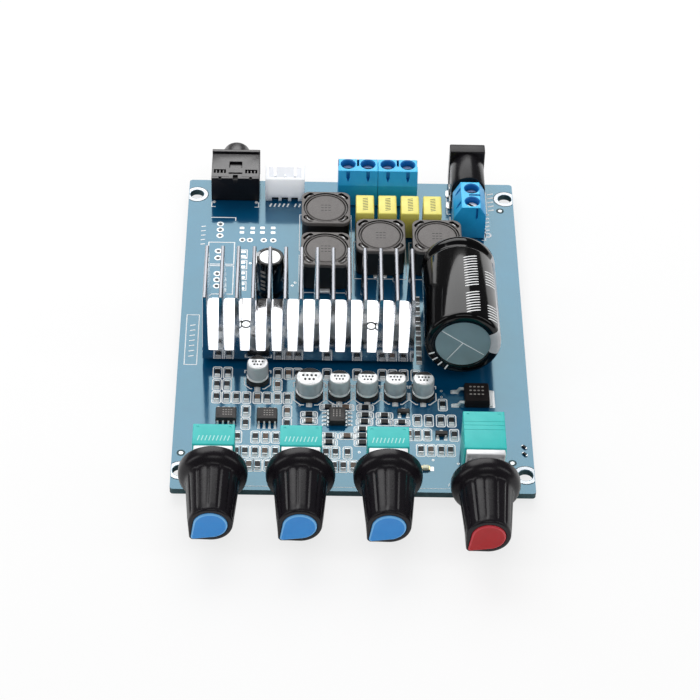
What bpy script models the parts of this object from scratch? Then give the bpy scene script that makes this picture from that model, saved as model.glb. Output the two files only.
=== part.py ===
"""Audio amplifier board: a blue circuit board with terminals, jacks, heatsink, capacitors and knobs.

The board lies flat on its solder joints, its knobs towards -Y and its sockets towards +Y.
The origin is the bottom centre of the box round the whole part.
Places on the board are measured from its front left corner and from its top face.
"""

import math

import bmesh
import bpy
from mathutils import Vector

MM = 0.001

# Fits that all pieces share
SEAT_GAP = 0.3 * MM
RUNNING_GAP = 0.3 * MM
SINK = 0.2 * MM
SIDES = 24

# Board
BOARD_THICKNESS = 1.6 * MM
BOARD_CORNER = 0.8 * MM
MOUNT_HOLE_RADIUS = 1.75 * MM
MOUNT_HOLE_INSET_X = 2.1 * MM
MOUNT_HOLE_INSET_Y = 5.8 * MM
SOLDER_HEIGHT = 1.6 * MM
SOLDER_RADIUS = 0.9 * MM
SOLDER_TIP_RADIUS = 0.4 * MM
SOLDER_SIDES = 8

# Chips soldered flat on the board, one piece with it
CHIP_LENGTH = 2.0 * MM
CHIP_WIDTH = 1.25 * MM
CHIP_HEIGHT = 0.6 * MM
TRANSISTOR_SIZE = (2.9 * MM, 1.3 * MM, 1.0 * MM)
CONTROL_ZONE = 28.1 * MM

# Controls: a housing, a metal plate with its bushing, a shaft, a knob and its coloured cap
CONTROL_COUNT = 4
FIRST_CONTROL_X = 10.0 * MM
CONTROL_PITCH = 19.7 * MM
VOLUME_SHIFT = 2.2 * MM
CONTROL_MARGIN = 9.0 * MM
HOUSING_WIDTH = 9.5 * MM
HOUSING_HEIGHT = 12.0 * MM
HOUSING_DEPTH = 6.8 * MM
VOLUME_HOUSING_DEPTH = 12.1 * MM
HOUSING_BEVEL = 0.25 * MM
PLATE_SETBACK = 0.4 * MM
PLATE_THICKNESS = 1.6 * MM
PLATE_SIDE_INSET = 0.35 * MM
AXIS_HEIGHT = 7.0 * MM
BUSHING_RADIUS = 3.5 * MM
BUSHING_LENGTH = 5.0 * MM
NECK_RADIUS = 2.2 * MM
SHAFT_RADIUS = 3.0 * MM
SHAFT_FLAT = 1.5 * MM
SHAFT_TAIL = 2.6 * MM
SHAFT_END = 13.0 * MM

KNOB_STANDOFF = 0.5 * MM
VOLUME_KNOB_STANDOFF = 2.9 * MM
KNOB_LENGTH = 16.9 * MM
SKIRT_RADIUS = 7.85 * MM
SKIRT_RIM = 1.6 * MM
SKIRT_DEPTH = 4.0 * MM
SKIRT_WALL = 0.8 * MM
HOLLOW_RIM = 1.3 * MM
HOLLOW_DEPTH = 2.4 * MM
HOLLOW_FLOOR_RADIUS = 6.2 * MM
STEM_ROOT_RADIUS = 6.1 * MM
STEM_TIP_RADIUS = 5.0 * MM
RIB_COUNT = 10
RIB_GROOVE = 0.35 * MM
POINTER_RADIUS = 6.8 * MM
POINTER_ANGLE = math.radians(225)
RECESS_RADIUS = 4.6 * MM
CAP_RIM = 1.1 * MM
CAP_CORNER_RIM = 0.35 * MM
CAP_POCKET = 0.9 * MM
CAP_CROWN = 0.3 * MM
CAP_BEVEL = 0.25 * MM

# Aluminium electrolytic capacitors that stand on square bases
LARGE_CAN_RADIUS = 3.15 * MM
SMALL_CAN_RADIUS = 2.5 * MM
CAN_HEIGHT = 5.4 * MM
BASE_HEIGHT = 0.9 * MM
BASE_RIM = 0.15 * MM
FIRST_CAN_X = 19.2 * MM
FIRST_CAN_BACK = 4.5 * MM
LARGE_CAN_X = 31.5 * MM
LARGE_CAN_PITCH = 7.1 * MM
CAN_PITCH = 6.6 * MM
ROW_CAN_COUNT = 4

# Heatsink on the two amplifier chips
AMPLIFIER_SIZE = (11.0 * MM, 6.2 * MM, 0.9 * MM)
AMPLIFIER_PINS = 8
HEATSINK_LEFT = 5.9 * MM
HEATSINK_GAP = 6.6 * MM
HEATSINK_DEPTH = 18.5 * MM
HEATSINK_HEIGHT = 19.8 * MM
HEATSINK_BASE = 2.9 * MM
FIN_COUNT = 14
FIN_PITCH = 3.77 * MM
FIN_ROOT = 1.5 * MM
FIN_TIP = 0.9 * MM
SCREW_FIN_GAPS = (3, 11)
HEATSINK_SCREW_RADIUS = 1.25 * MM
SCREW_HEAD_RADIUS = 2.3 * MM
SCREW_HEAD_HEIGHT = 1.1 * MM
DRILL_ABOVE_BASE = 1.0 * MM

# Main capacitor, lying down with its front end raised
MAIN_CAP_GAP_X = 2.1 * MM
MAIN_CAP_GAP_Y = 2.1 * MM
MAIN_CAP_RADIUS = 9.0 * MM
MAIN_CAP_LENGTH = 31.4 * MM
MAIN_CAP_TILT = math.radians(4)
SLEEVE_RIM = 2.4 * MM
SLEEVE_RECESS = 0.5 * MM
MAIN_CAP_MARGIN = 5.0 * MM
LEAD_SPACING = 7.5 * MM
LEAD_RADIUS = 0.4 * MM
LEAD_REACH = 1.6 * MM

# Upright capacitor behind the heatsink
SMALL_CAP_X = 21.5 * MM
SMALL_CAP_GAP = 3.7 * MM
SMALL_CAP_RADIUS = 3.5 * MM
SMALL_CAP_HEIGHT = 11.5 * MM

# Inductors
INDUCTOR_SIZE = 12.2 * MM
INDUCTOR_HEIGHT = 8.2 * MM
INDUCTOR_CORNER = 1.8 * MM
INDUCTOR_RING_RADIUS = 5.3 * MM
INDUCTOR_RING_WIDTH = 0.45 * MM
INDUCTOR_RING_DEPTH = 0.5 * MM
INDUCTOR_POCKET_RADIUS = 0.9 * MM
INDUCTOR_LEFT = 29.05 * MM
INDUCTOR_GAP_X = 1.45 * MM
INDUCTOR_PAIR_GAP = 1.8 * MM
LEFT_INDUCTOR_GAP = 8.1 * MM
INDUCTOR_GAP_Y = 3.4 * MM
RIGHT_INDUCTOR_GAP = 3.5 * MM

# Film capacitors
FILM_COUNT = 4
FILM_WIDTH = 4.55 * MM
FILM_DEPTH = 7.2 * MM
FILM_HEIGHT = 8.4 * MM
FILM_PITCH = 5.67 * MM
FILM_GAP_Y = 1.85 * MM
FILM_BEVEL = 0.3 * MM

# Audio jack
JACK_LEFT = 5.9 * MM
JACK_WIDTH = 12.2 * MM
JACK_DEPTH = 11.4 * MM
JACK_HEIGHT = 7.2 * MM
JACK_OVERHANG = 3.1 * MM
JACK_FLANGE = 1.5 * MM
JACK_FLANGE_RISE = 0.35 * MM
BARREL_RADIUS = 3.45 * MM
BARREL_LENGTH = 3.7 * MM
BARREL_AXIS_HEIGHT = 3.7 * MM
JACK_BORE_RADIUS = 1.85 * MM
JACK_BORE_DEPTH = 13.5 * MM
JACK_POCKET_DEPTH = 0.6 * MM
JACK_WINDOW_WIDTH = 3.1 * MM
JACK_WINDOW_DEPTH = 2.4 * MM
JACK_WINDOW_FRONT = 4.9 * MM
JACK_SLOT_WIDTH = 3.0 * MM
JACK_SLOT_DEPTH = 1.5 * MM
JACK_SLOT_FRONT = 2.5 * MM
JACK_SLOT_SPREAD = 7.8 * MM
JACK_LEG_INSET = 1.5 * MM
JACK_LEG_PITCH = 3.5 * MM

# Audio header
HEADER_GAP = 1.6 * MM
HEADER_PINS = 3
HEADER_PITCH = 2.5 * MM
HEADER_END = 2.5 * MM
HEADER_DEPTH = 5.75 * MM
HEADER_HEIGHT = 7.2 * MM
HEADER_WALL = 0.8 * MM
HEADER_FLOOR = 1.8 * MM
HEADER_SETBACK = 2.6 * MM
HEADER_PIN_WIDTH = 0.64 * MM
HEADER_PIN_DROP = 1.2 * MM
HEADER_NOTCH = (1.5 * MM, 1.1 * MM)

# Screw terminals, two ways each
TERMINAL_GAP = 8.5 * MM
TERMINAL_PITCH = 5.08 * MM
TERMINAL_DEPTH = 8.0 * MM
TERMINAL_HEIGHT = 10.0 * MM
TERMINAL_SETBACK = 1.6 * MM
TERMINAL_WAYS = 2
SPEAKER_TERMINALS = 2
MODULE_GAP = 0.1 * MM
TERMINAL_SLOPE = 1.8 * MM
TERMINAL_SHOULDER = 6.6 * MM
TERMINAL_BACK_SLOPE = 1.5 * MM
TERMINAL_BACK_SHOULDER = 7.4 * MM
SCREW_PLACE = 4.5 * MM
TERMINAL_SCREW_RADIUS = 1.45 * MM
TERMINAL_SCREW_LENGTH = 3.6 * MM
TERMINAL_SCREW_DROP = 1.9 * MM
SCREW_SLOT_WIDTH = 0.6 * MM
SCREW_SLOT_DEPTH = 0.7 * MM
WIRE_HOLE_WIDTH = 3.4 * MM
WIRE_HOLE_HEIGHT = 3.4 * MM
WIRE_HOLE_FLOOR = 1.4 * MM
WIRE_HOLE_DEPTH = 5.2 * MM
PROBE_SLOT_WIDTH = 0.9 * MM
PROBE_SLOT_DEPTH = 1.1 * MM
PROBE_SLOT_HEIGHT = 2.8 * MM

# Power inputs in the column at the right
DC_GAP = 8.4 * MM
DC_WIDTH = 9.0 * MM
DC_LENGTH = 13.0 * MM
DC_HEIGHT = 11.0 * MM
DC_FLANGE = 3.3 * MM
DC_OVERHANG = 2.5 * MM
DC_BODY_RADIUS = 4.3 * MM
DC_AXIS_HEIGHT = 6.3 * MM
DC_BORE_RADIUS = 3.15 * MM
DC_BORE_DEPTH = 9.5 * MM
DC_PIN_RADIUS = 1.0 * MM
DC_PIN_DROP = 1.0 * MM
DC_MARGIN = 7.55 * MM
DC_TERMINAL_GAP = 2.7 * MM
DC_JACK_GAP = 1.0 * MM

# Leaded chips
SMALL_CHIP_SIZE = (4.9 * MM, 3.9 * MM, 1.45 * MM)
SMALL_CHIP_PINS = 4
SMALL_CHIP_PITCH = 1.27 * MM
PIN_WIDTH = 0.42 * MM
PIN_REACH = 1.0 * MM
PIN_THICKNESS = 0.22 * MM
REGULATOR_SIZE = (6.0 * MM, 6.4 * MM, 2.2 * MM)
REGULATOR_TAB = (1.3 * MM, 5.3 * MM, 0.5 * MM)
REGULATOR_LEAD_PITCH = 2.29 * MM
REGULATOR_OFFSET_X = 3.55 * MM
REGULATOR_FRONT = 0.9 * MM

# Finishes: colour, roughness and metallic value
FINISHES = {
    "board_blue": ((0.01, 0.14, 0.30), 0.25, 0.0),
    "bare_aluminium": ((0.75, 0.76, 0.78), 0.3, 1.0),
    "steel": ((0.62, 0.62, 0.62), 0.35, 1.0),
    "ferrite_grey": ((0.16, 0.16, 0.17), 0.6, 0.0),
    "film_yellow": ((0.80, 0.74, 0.20), 0.35, 0.0),
    "sleeve_black": ((0.012, 0.012, 0.014), 0.3, 0.0),
    "can_silver": ((0.70, 0.71, 0.72), 0.3, 1.0),
    "jack_black": ((0.02, 0.02, 0.022), 0.4, 0.0),
    "header_white": ((0.82, 0.82, 0.84), 0.4, 0.0),
    "terminal_blue": ((0.03, 0.30, 0.62), 0.4, 0.0),
    "screw_plated": ((0.66, 0.64, 0.60), 0.3, 1.0),
    "chip_black": ((0.03, 0.03, 0.032), 0.5, 0.0),
    "housing_teal": ((0.10, 0.62, 0.52), 0.4, 0.0),
    "knob_black": ((0.02, 0.02, 0.022), 0.5, 0.0),
    "cap_blue": ((0.03, 0.22, 0.60), 0.4, 0.0),
    "cap_red": ((0.50, 0.02, 0.03), 0.4, 0.0),
}

# Sizes that follow from those above
HEATSINK_WIDTH = FIN_PITCH * (FIN_COUNT - 1) + FIN_ROOT
HEATSINK_LIFT = AMPLIFIER_SIZE[2] + 2 * SEAT_GAP
LARGE_BASE = 2 * (LARGE_CAN_RADIUS + BASE_RIM)
HEADER_WIDTH = HEADER_PITCH * (HEADER_PINS - 1) + 2 * HEADER_END
TERMINAL_WIDTH = TERMINAL_PITCH * TERMINAL_WAYS
SPEAKER_WIDTH = TERMINAL_WIDTH * SPEAKER_TERMINALS

# Places from the left edge
HEADER_LEFT = JACK_LEFT + JACK_WIDTH + HEADER_GAP
SPEAKER_LEFT = HEADER_LEFT + HEADER_WIDTH + TERMINAL_GAP
RIGHT_INDUCTOR_LEFT = INDUCTOR_LEFT + INDUCTOR_SIZE + INDUCTOR_GAP_X
DC_LEFT = SPEAKER_LEFT + SPEAKER_WIDTH + DC_GAP
DC_X = DC_LEFT + DC_WIDTH / 2
MAIN_CAP_X = HEATSINK_LEFT + HEATSINK_WIDTH + MAIN_CAP_GAP_X + MAIN_CAP_RADIUS
LAST_CONTROL_X = FIRST_CONTROL_X + (CONTROL_COUNT - 1) * CONTROL_PITCH + VOLUME_SHIFT
BOARD_WIDTH = max(
    DC_LEFT + DC_WIDTH + DC_MARGIN,
    MAIN_CAP_X + MAIN_CAP_RADIUS + MAIN_CAP_MARGIN,
    LAST_CONTROL_X + SKIRT_RADIUS,
)

# Places from the front edge
CAN_ROW_Y = CONTROL_ZONE + LARGE_BASE / 2
HEATSINK_FRONT = CONTROL_ZONE + LARGE_BASE + HEATSINK_GAP
HEATSINK_BACK = HEATSINK_FRONT + HEATSINK_DEPTH
MAIN_CAP_FRONT = CONTROL_ZONE + LARGE_BASE + MAIN_CAP_GAP_Y
MAIN_CAP_BACK = MAIN_CAP_FRONT + MAIN_CAP_LENGTH
LEAD_Y = MAIN_CAP_BACK + LEAD_REACH
LEFT_INDUCTOR_FRONT = HEATSINK_BACK + LEFT_INDUCTOR_GAP
REAR_INDUCTOR_FRONT = LEFT_INDUCTOR_FRONT + INDUCTOR_SIZE + INDUCTOR_GAP_Y
RIGHT_INDUCTOR_FRONT = LEAD_Y + RIGHT_INDUCTOR_GAP
FILM_FRONT = RIGHT_INDUCTOR_FRONT + INDUCTOR_SIZE + FILM_GAP_Y
DC_TERMINAL_FRONT = RIGHT_INDUCTOR_FRONT + INDUCTOR_SIZE + DC_TERMINAL_GAP
DC_FRONT = DC_TERMINAL_FRONT + TERMINAL_WIDTH + DC_JACK_GAP
BOARD_LENGTH = max(
    DC_FRONT + DC_LENGTH - DC_OVERHANG,
    REAR_INDUCTOR_FRONT + INDUCTOR_SIZE + INDUCTOR_GAP_Y + TERMINAL_DEPTH + TERMINAL_SETBACK,
)

# Places that centre the whole part on the origin
KNOB_REACH = max(KNOB_STANDOFF, VOLUME_KNOB_STANDOFF) + KNOB_LENGTH + CAP_CROWN
BACK_REACH = BOARD_LENGTH + max(JACK_OVERHANG + BARREL_LENGTH, DC_OVERHANG)
FRONT_EDGE_Y = (KNOB_REACH - BACK_REACH) / 2
BOARD_TOP_Z = SOLDER_HEIGHT + BOARD_THICKNESS


def at(x, y, z=0.0):
    """The world place of a point given from the board's front left corner and its top face."""
    return Vector((x - BOARD_WIDTH / 2, y + FRONT_EDGE_Y, z + BOARD_TOP_Z))


def prism(outline, depth, axis="Z"):
    """An outline of (u, v) points extruded along an axis: a closed shape."""
    lift = {
        "X": lambda u, v, w: (w, u, v),
        "Y": lambda u, v, w: (u, w, v),
        "Z": lambda u, v, w: (u, v, w),
    }[axis]
    shape = bmesh.new()
    low = [shape.verts.new(lift(u, v, 0.0)) for u, v in outline]
    high = [shape.verts.new(lift(u, v, depth)) for u, v in outline]
    shape.faces.new(low)
    shape.faces.new(high)
    for i in range(len(outline)):
        j = (i + 1) % len(outline)
        shape.faces.new((low[i], low[j], high[j], high[i]))
    bmesh.ops.recalc_face_normals(shape, faces=shape.faces)
    return shape


def rectangle(width, depth):
    """The corners of a rectangle centred on the origin."""
    x, y = width / 2, depth / 2
    return [(-x, -y), (x, -y), (x, y), (-x, y)]


def rounded_rectangle(width, depth, radius, steps=4):
    """A centred rectangle with round corners."""
    points = []
    for quarter, (sx, sy) in enumerate(((1, 1), (-1, 1), (-1, -1), (1, -1))):
        for step in range(steps + 1):
            angle = math.pi / 2 * (quarter + step / steps)
            x = sx * (width / 2 - radius) + radius * math.cos(angle)
            y = sy * (depth / 2 - radius) + radius * math.sin(angle)
            points.append((x, y))
    return points


def circle(radius, sides=SIDES):
    """The points of a circle."""
    turns = [2 * math.pi * i / sides for i in range(sides)]
    return [(radius * math.cos(a), radius * math.sin(a)) for a in turns]


def block(width, depth, height, x=0.0, y=0.0, z=0.0):
    """A box that stands at height z, centred on (x, y)."""
    return moved(prism(rectangle(width, depth), height), x, y, z)


def rod(radius, length, x=0.0, y=0.0, z=0.0, axis="Z", sides=SIDES):
    """A cylinder from (x, y, z) along an axis."""
    return moved(prism(circle(radius, sides), length, axis), x, y, z)


def moved(shape, x=0.0, y=0.0, z=0.0):
    """Shifts a shape and returns it."""
    bmesh.ops.translate(shape, verts=shape.verts, vec=(x, y, z))
    return shape


def skin(rings):
    """Joins rings of points, of equal length or a single point, into a closed shape."""
    shape = bmesh.new()
    loops = [[shape.verts.new(point) for point in ring] for ring in rings]
    for upper, lower in zip(loops, loops[1:]):
        count = max(len(upper), len(lower))
        for i in range(count):
            j = (i + 1) % count
            above = [upper[i % len(upper)], upper[j % len(upper)]]
            below = [lower[j % len(lower)], lower[i % len(lower)]]
            shape.faces.new(list(dict.fromkeys(above + below)))
    bmesh.ops.recalc_face_normals(shape, faces=shape.faces)
    return shape


def turned(profile, sides=SIDES):
    """A profile of (radius, height) points, from axis to axis, turned about Z."""
    rings = []
    for radius, height in profile:
        around = circle(radius, sides) if radius else [(0.0, 0.0)]
        rings.append([(x, y, height) for x, y in around])
    return skin(rings)


def gathered(shapes):
    """Several separate shapes as one mesh, for one Boolean."""
    joined = bmesh.new()
    for shape in shapes:
        mesh = bpy.data.meshes.new("shape")
        shape.to_mesh(mesh)
        joined.from_mesh(mesh)
        shape.free()
        bpy.data.meshes.remove(mesh)
    return joined


def finish(name):
    """The material of a finish, made once."""
    if name not in bpy.data.materials:
        colour, roughness, metallic = FINISHES[name]
        material = bpy.data.materials.new(name)
        material.use_nodes = True
        shader = material.node_tree.nodes["Principled BSDF"]
        shader.inputs["Base Color"].default_value = (*colour, 1.0)
        shader.inputs["Roughness"].default_value = roughness
        shader.inputs["Metallic"].default_value = metallic
    return bpy.data.materials[name]


def add(name, shape, finish_name, place, turn=(0.0, 0.0, 0.0)):
    """Makes a shape into a named object at a place, smooth on its round faces."""
    mesh = bpy.data.meshes.new(name)
    shape.to_mesh(mesh)
    shape.free()
    mesh.materials.append(finish(finish_name))
    mesh.shade_smooth()
    mesh.set_sharp_from_angle(angle=math.radians(30))
    piece = bpy.data.objects.new(name, mesh)
    piece.location = place
    piece.rotation_euler = turn
    bpy.context.scene.collection.objects.link(piece)
    return piece


def combine(piece, shapes, operation):
    """Cuts shapes from a piece, or joins them to it, in the piece's own frame."""
    mesh = bpy.data.meshes.new(f"{piece.name}_{operation.lower()}")
    shape = gathered(shapes)
    shape.to_mesh(mesh)
    shape.free()
    guide = bpy.data.objects.new(mesh.name, mesh)
    guide.parent = piece
    guide.hide_render = True
    guide.display_type = "WIRE"
    bpy.context.scene.collection.objects.link(guide)
    modifier = piece.modifiers.new(operation.lower(), "BOOLEAN")
    modifier.operation = operation
    modifier.solver = "EXACT"
    modifier.object = guide


def cut(piece, shapes):
    """Takes shapes away from a piece."""
    combine(piece, shapes, "DIFFERENCE")


def join(piece, shapes):
    """Fuses shapes with a piece."""
    combine(piece, shapes, "UNION")


def soften(piece, width):
    """Breaks a piece's sharp edges with a small flat bevel."""
    bevel = piece.modifiers.new("bevel", "BEVEL")
    bevel.width = width
    bevel.segments = 1


def control_places():
    """The distance from the left edge of each control's axis."""
    places = [FIRST_CONTROL_X + i * CONTROL_PITCH for i in range(CONTROL_COUNT)]
    places[-1] += VOLUME_SHIFT
    return places


def control_depth(index):
    """The depth of a control's housing: the volume control at the right holds two tracks."""
    return VOLUME_HOUSING_DEPTH if index == CONTROL_COUNT - 1 else HOUSING_DEPTH


def screw_places():
    """The heatsink's two screws, each in the middle of a gap between fins."""
    first_gap = HEATSINK_LEFT + FIN_ROOT / 2 + FIN_PITCH / 2
    y = (HEATSINK_FRONT + HEATSINK_BACK) / 2
    return [(first_gap + (gap - 1) * FIN_PITCH, y) for gap in SCREW_FIN_GAPS]


def mount_hole_places():
    """The four holes for standoffs, near the corners."""
    xs = (MOUNT_HOLE_INSET_X, BOARD_WIDTH - MOUNT_HOLE_INSET_X)
    ys = (MOUNT_HOLE_INSET_Y, BOARD_LENGTH - MOUNT_HOLE_INSET_Y)
    return [(x, y) for x in xs for y in ys]


def film_places():
    """The left edge of each film capacitor."""
    first = INDUCTOR_LEFT + INDUCTOR_SIZE + INDUCTOR_GAP_X
    return [first + i * FILM_PITCH for i in range(FILM_COUNT)]


def terminal_ways(left, count):
    """The middle of each way of a terminal that starts at left."""
    return [left + (i + 0.5) * TERMINAL_PITCH for i in range(count)]


def solder_places():
    """Where leads come through the board and are soldered underneath."""
    jack_front = BOARD_LENGTH + JACK_OVERHANG - JACK_DEPTH
    jack_sides = (JACK_LEFT + JACK_LEG_INSET, JACK_LEFT + JACK_WIDTH - JACK_LEG_INSET)
    jack_rows = (jack_front + JACK_LEG_INSET, jack_front + JACK_LEG_INSET + JACK_LEG_PITCH)
    places = [(x, y) for x in jack_sides for y in jack_rows]
    header_y = BOARD_LENGTH - HEADER_SETBACK - HEADER_DEPTH / 2
    places += [(HEADER_LEFT + HEADER_END + i * HEADER_PITCH, header_y) for i in range(HEADER_PINS)]
    speaker_y = BOARD_LENGTH - TERMINAL_SETBACK - TERMINAL_DEPTH + SCREW_PLACE
    places += [(x, speaker_y) for x in terminal_ways(SPEAKER_LEFT, TERMINAL_WAYS * SPEAKER_TERMINALS)]
    dc_screw_x = DC_X - TERMINAL_DEPTH / 2 + SCREW_PLACE
    places += [(dc_screw_x, y) for y in terminal_ways(DC_TERMINAL_FRONT, TERMINAL_WAYS)]
    places += [(DC_X, DC_FRONT + 1.2 * MM), (DC_X, DC_FRONT + 7.2 * MM)]
    for x in film_places():
        ends = (FILM_FRONT + 1.1 * MM, FILM_FRONT + FILM_DEPTH - 1.1 * MM)
        places += [(x + FILM_WIDTH / 2, y) for y in ends]
    places += [(MAIN_CAP_X + side * LEAD_SPACING / 2, LEAD_Y) for side in (-1, 1)]
    small_y = HEATSINK_BACK + SMALL_CAP_GAP + SMALL_CAP_RADIUS
    places += [(SMALL_CAP_X + side * SMALL_CAP_RADIUS / 2, small_y) for side in (-1, 1)]
    for index, x in enumerate(control_places()):
        back = PLATE_SETBACK + PLATE_THICKNESS + control_depth(index)
        rows = (back - 1.2 * MM,) if index < CONTROL_COUNT - 1 else (back - 1.2 * MM, back - 6.2 * MM)
        places += [(x + step * 2.5 * MM, row) for row in rows for step in (-1, 0, 1)]
    return places


def chip_rows():
    """Rows of chips: first x, y, step between chips, how many, and whether they lie along X."""
    step = 2.4 * MM
    zone = CONTROL_ZONE
    behind_cans = CONTROL_ZONE + LARGE_BASE + 3.4 * MM
    return [
        (9.6 * MM, behind_cans, step, 2, False),
        (24.0 * MM, behind_cans, step, 3, False),
        (35.7 * MM, behind_cans, step, 1, False),
        (42.9 * MM, behind_cans, step, 1, False),
        (48.9 * MM, behind_cans, step, 3, False),
        (9.6 * MM, zone + 5.8 * MM, step, 2, False),
        (24.0 * MM, zone + 5.8 * MM, step, 1, False),
        (9.6 * MM, zone + 1.7 * MM, step, 4, False),
        (19.3 * MM, zone + 1.7 * MM, step, 4, False),
        (16.75 * MM, zone - 2.8 * MM, step, 1, False),
        (26.4 * MM, zone - 2.8 * MM, step, 1, False),
        (16.75 * MM, zone - 6.8 * MM, step, 1, False),
        (26.4 * MM, zone - 6.8 * MM, step, 1, False),
        (18.9 * MM, zone - 11.2 * MM, step, 3, False),
        (16.8 * MM, zone - 16.0 * MM, step, 4, False),
        (19.8 * MM, zone - 20.2 * MM, step, 2, False),
        (35.5 * MM, zone - 16.0 * MM, step, 3, False),
        (39.5 * MM, zone - 20.2 * MM, step, 2, False),
        (56.9 * MM, zone - 4.9 * MM, 2.7 * MM, 4, False),
        (56.8 * MM, zone - 9.8 * MM, step, 2, False),
        (65.4 * MM, zone - 9.8 * MM, step, 1, False),
        (57.5 * MM, zone - 14.8 * MM, step, 4, False),
        (63.0 * MM, zone + 0.2 * MM, step, 1, False),
        (31.5 * MM, zone - 3.7 * MM, step, 1, True),
        (31.5 * MM, zone - 6.0 * MM, step, 1, True),
        (44.7 * MM, zone - 1.3 * MM, step, 1, True),
        (44.7 * MM, zone - 3.6 * MM, 4.5 * MM, 2, True),
        (44.7 * MM, zone - 5.9 * MM, 4.5 * MM, 3, True),
        (36.2 * MM, zone - 10.6 * MM, 4.2 * MM, 2, True),
        (36.2 * MM, zone - 12.8 * MM, step, 1, True),
        (58.7 * MM, zone - 20.7 * MM, step, 1, True),
    ]


def chips():
    """The small chips and two transistors, each a low block sunk a little into the board."""
    shapes = []
    for first, y, step, count, along_x in chip_rows():
        size = (CHIP_LENGTH, CHIP_WIDTH) if along_x else (CHIP_WIDTH, CHIP_LENGTH)
        for i in range(count):
            shapes.append(block(*size, CHIP_HEIGHT + SINK, first + i * step, y, -SINK))
    width, depth, height = TRANSISTOR_SIZE
    shapes.append(block(width, depth, height + SINK, 53.7 * MM, CONTROL_ZONE - 2.7 * MM, -SINK))
    shapes.append(block(width, depth, height + SINK, 62.3 * MM, CONTROL_ZONE - 9.8 * MM, -SINK))
    return shapes


def solder_joint(x, y):
    """A cone of solder under the board, sunk a little into it."""
    under = -BOARD_THICKNESS
    profile = [
        (0.0, under + SINK),
        (SOLDER_RADIUS, under + SINK),
        (SOLDER_RADIUS, under),
        (SOLDER_TIP_RADIUS, under - SOLDER_HEIGHT),
        (0.0, under - SOLDER_HEIGHT),
    ]
    return moved(turned(profile, SOLDER_SIDES), x, y)


def circuit_board():
    """The board with its holes, its flat chips and the solder joints under it."""
    outline = rounded_rectangle(BOARD_WIDTH, BOARD_LENGTH, BOARD_CORNER)
    shape = moved(prism(outline, BOARD_THICKNESS), BOARD_WIDTH / 2, BOARD_LENGTH / 2, -BOARD_THICKNESS)
    board = add("circuit_board", shape, "board_blue", at(0.0, 0.0))
    join(board, chips() + [solder_joint(x, y) for x, y in solder_places()])
    through = BOARD_THICKNESS + 2 * SINK
    low = -BOARD_THICKNESS - SINK
    holes = [rod(MOUNT_HOLE_RADIUS, through, x, y, low) for x, y in mount_hole_places()]
    screw_hole = HEATSINK_SCREW_RADIUS + RUNNING_GAP
    holes += [rod(screw_hole, through, x, y, low) for x, y in screw_places()]
    cut(board, holes)


def heatsink():
    """An extruded comb of tapered fins on a flat base, drilled for two screws."""
    outline = [(0.0, 0.0), (HEATSINK_WIDTH, 0.0)]
    taper = (FIN_ROOT - FIN_TIP) / 2
    for i in reversed(range(FIN_COUNT)):
        left = i * FIN_PITCH
        outline.append((left + FIN_ROOT, HEATSINK_BASE))
        outline.append((left + FIN_ROOT - taper, HEATSINK_HEIGHT))
        outline.append((left + taper, HEATSINK_HEIGHT))
        outline.append((left, HEATSINK_BASE))
    place = at(HEATSINK_LEFT, HEATSINK_FRONT, HEATSINK_LIFT)
    sink = add("heatsink", prism(outline, HEATSINK_DEPTH, "Y"), "bare_aluminium", place)
    drill = HEATSINK_SCREW_RADIUS + RUNNING_GAP
    depth = HEATSINK_BASE + DRILL_ABOVE_BASE + SINK
    local = [(x - HEATSINK_LEFT, y - HEATSINK_FRONT) for x, y in screw_places()]
    cut(sink, [rod(drill, depth, x, y, -SINK) for x, y in local])


def heatsink_screws():
    """Two screws with flat round heads under the board, whose ends show between the fins."""
    length = BOARD_THICKNESS + HEATSINK_LIFT + HEATSINK_BASE + SEAT_GAP
    profile = [
        (0.0, length),
        (HEATSINK_SCREW_RADIUS, length),
        (HEATSINK_SCREW_RADIUS, 0.0),
        (SCREW_HEAD_RADIUS, 0.0),
        (SCREW_HEAD_RADIUS, -SCREW_HEAD_HEIGHT / 2),
        (SCREW_HEAD_RADIUS * 0.75, -SCREW_HEAD_HEIGHT),
        (0.0, -SCREW_HEAD_HEIGHT),
    ]
    for side, (x, y) in zip(("left", "right"), screw_places()):
        place = at(x, y, -BOARD_THICKNESS - SEAT_GAP)
        add(f"heatsink_screw_{side}", turned(profile), "screw_plated", place)


def leaded_chip(name, size, pins, pitch, place, turn=0.0):
    """A moulded chip with a row of bent pins on its front and back."""
    width, depth, height = size
    lift = height / 2
    foot = [
        (-SINK, lift + PIN_THICKNESS),
        (PIN_REACH * 0.5, lift + PIN_THICKNESS),
        (PIN_REACH * 0.65, PIN_THICKNESS),
        (PIN_REACH, PIN_THICKNESS),
        (PIN_REACH, 0.0),
        (PIN_REACH * 0.45, 0.0),
        (PIN_REACH * 0.3, lift),
        (-SINK, lift),
    ]
    body = block(width, depth, height)
    chip = add(name, body, "chip_black", place, (0.0, 0.0, turn))
    legs = []
    for side in (-1, 1):
        outline = [(side * (depth / 2 + y), z) for y, z in foot]
        for i in range(pins):
            x = (i - (pins - 1) / 2) * pitch - PIN_WIDTH / 2
            legs.append(moved(prism(outline, PIN_WIDTH, "X"), x))
    join(chip, legs)


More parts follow.
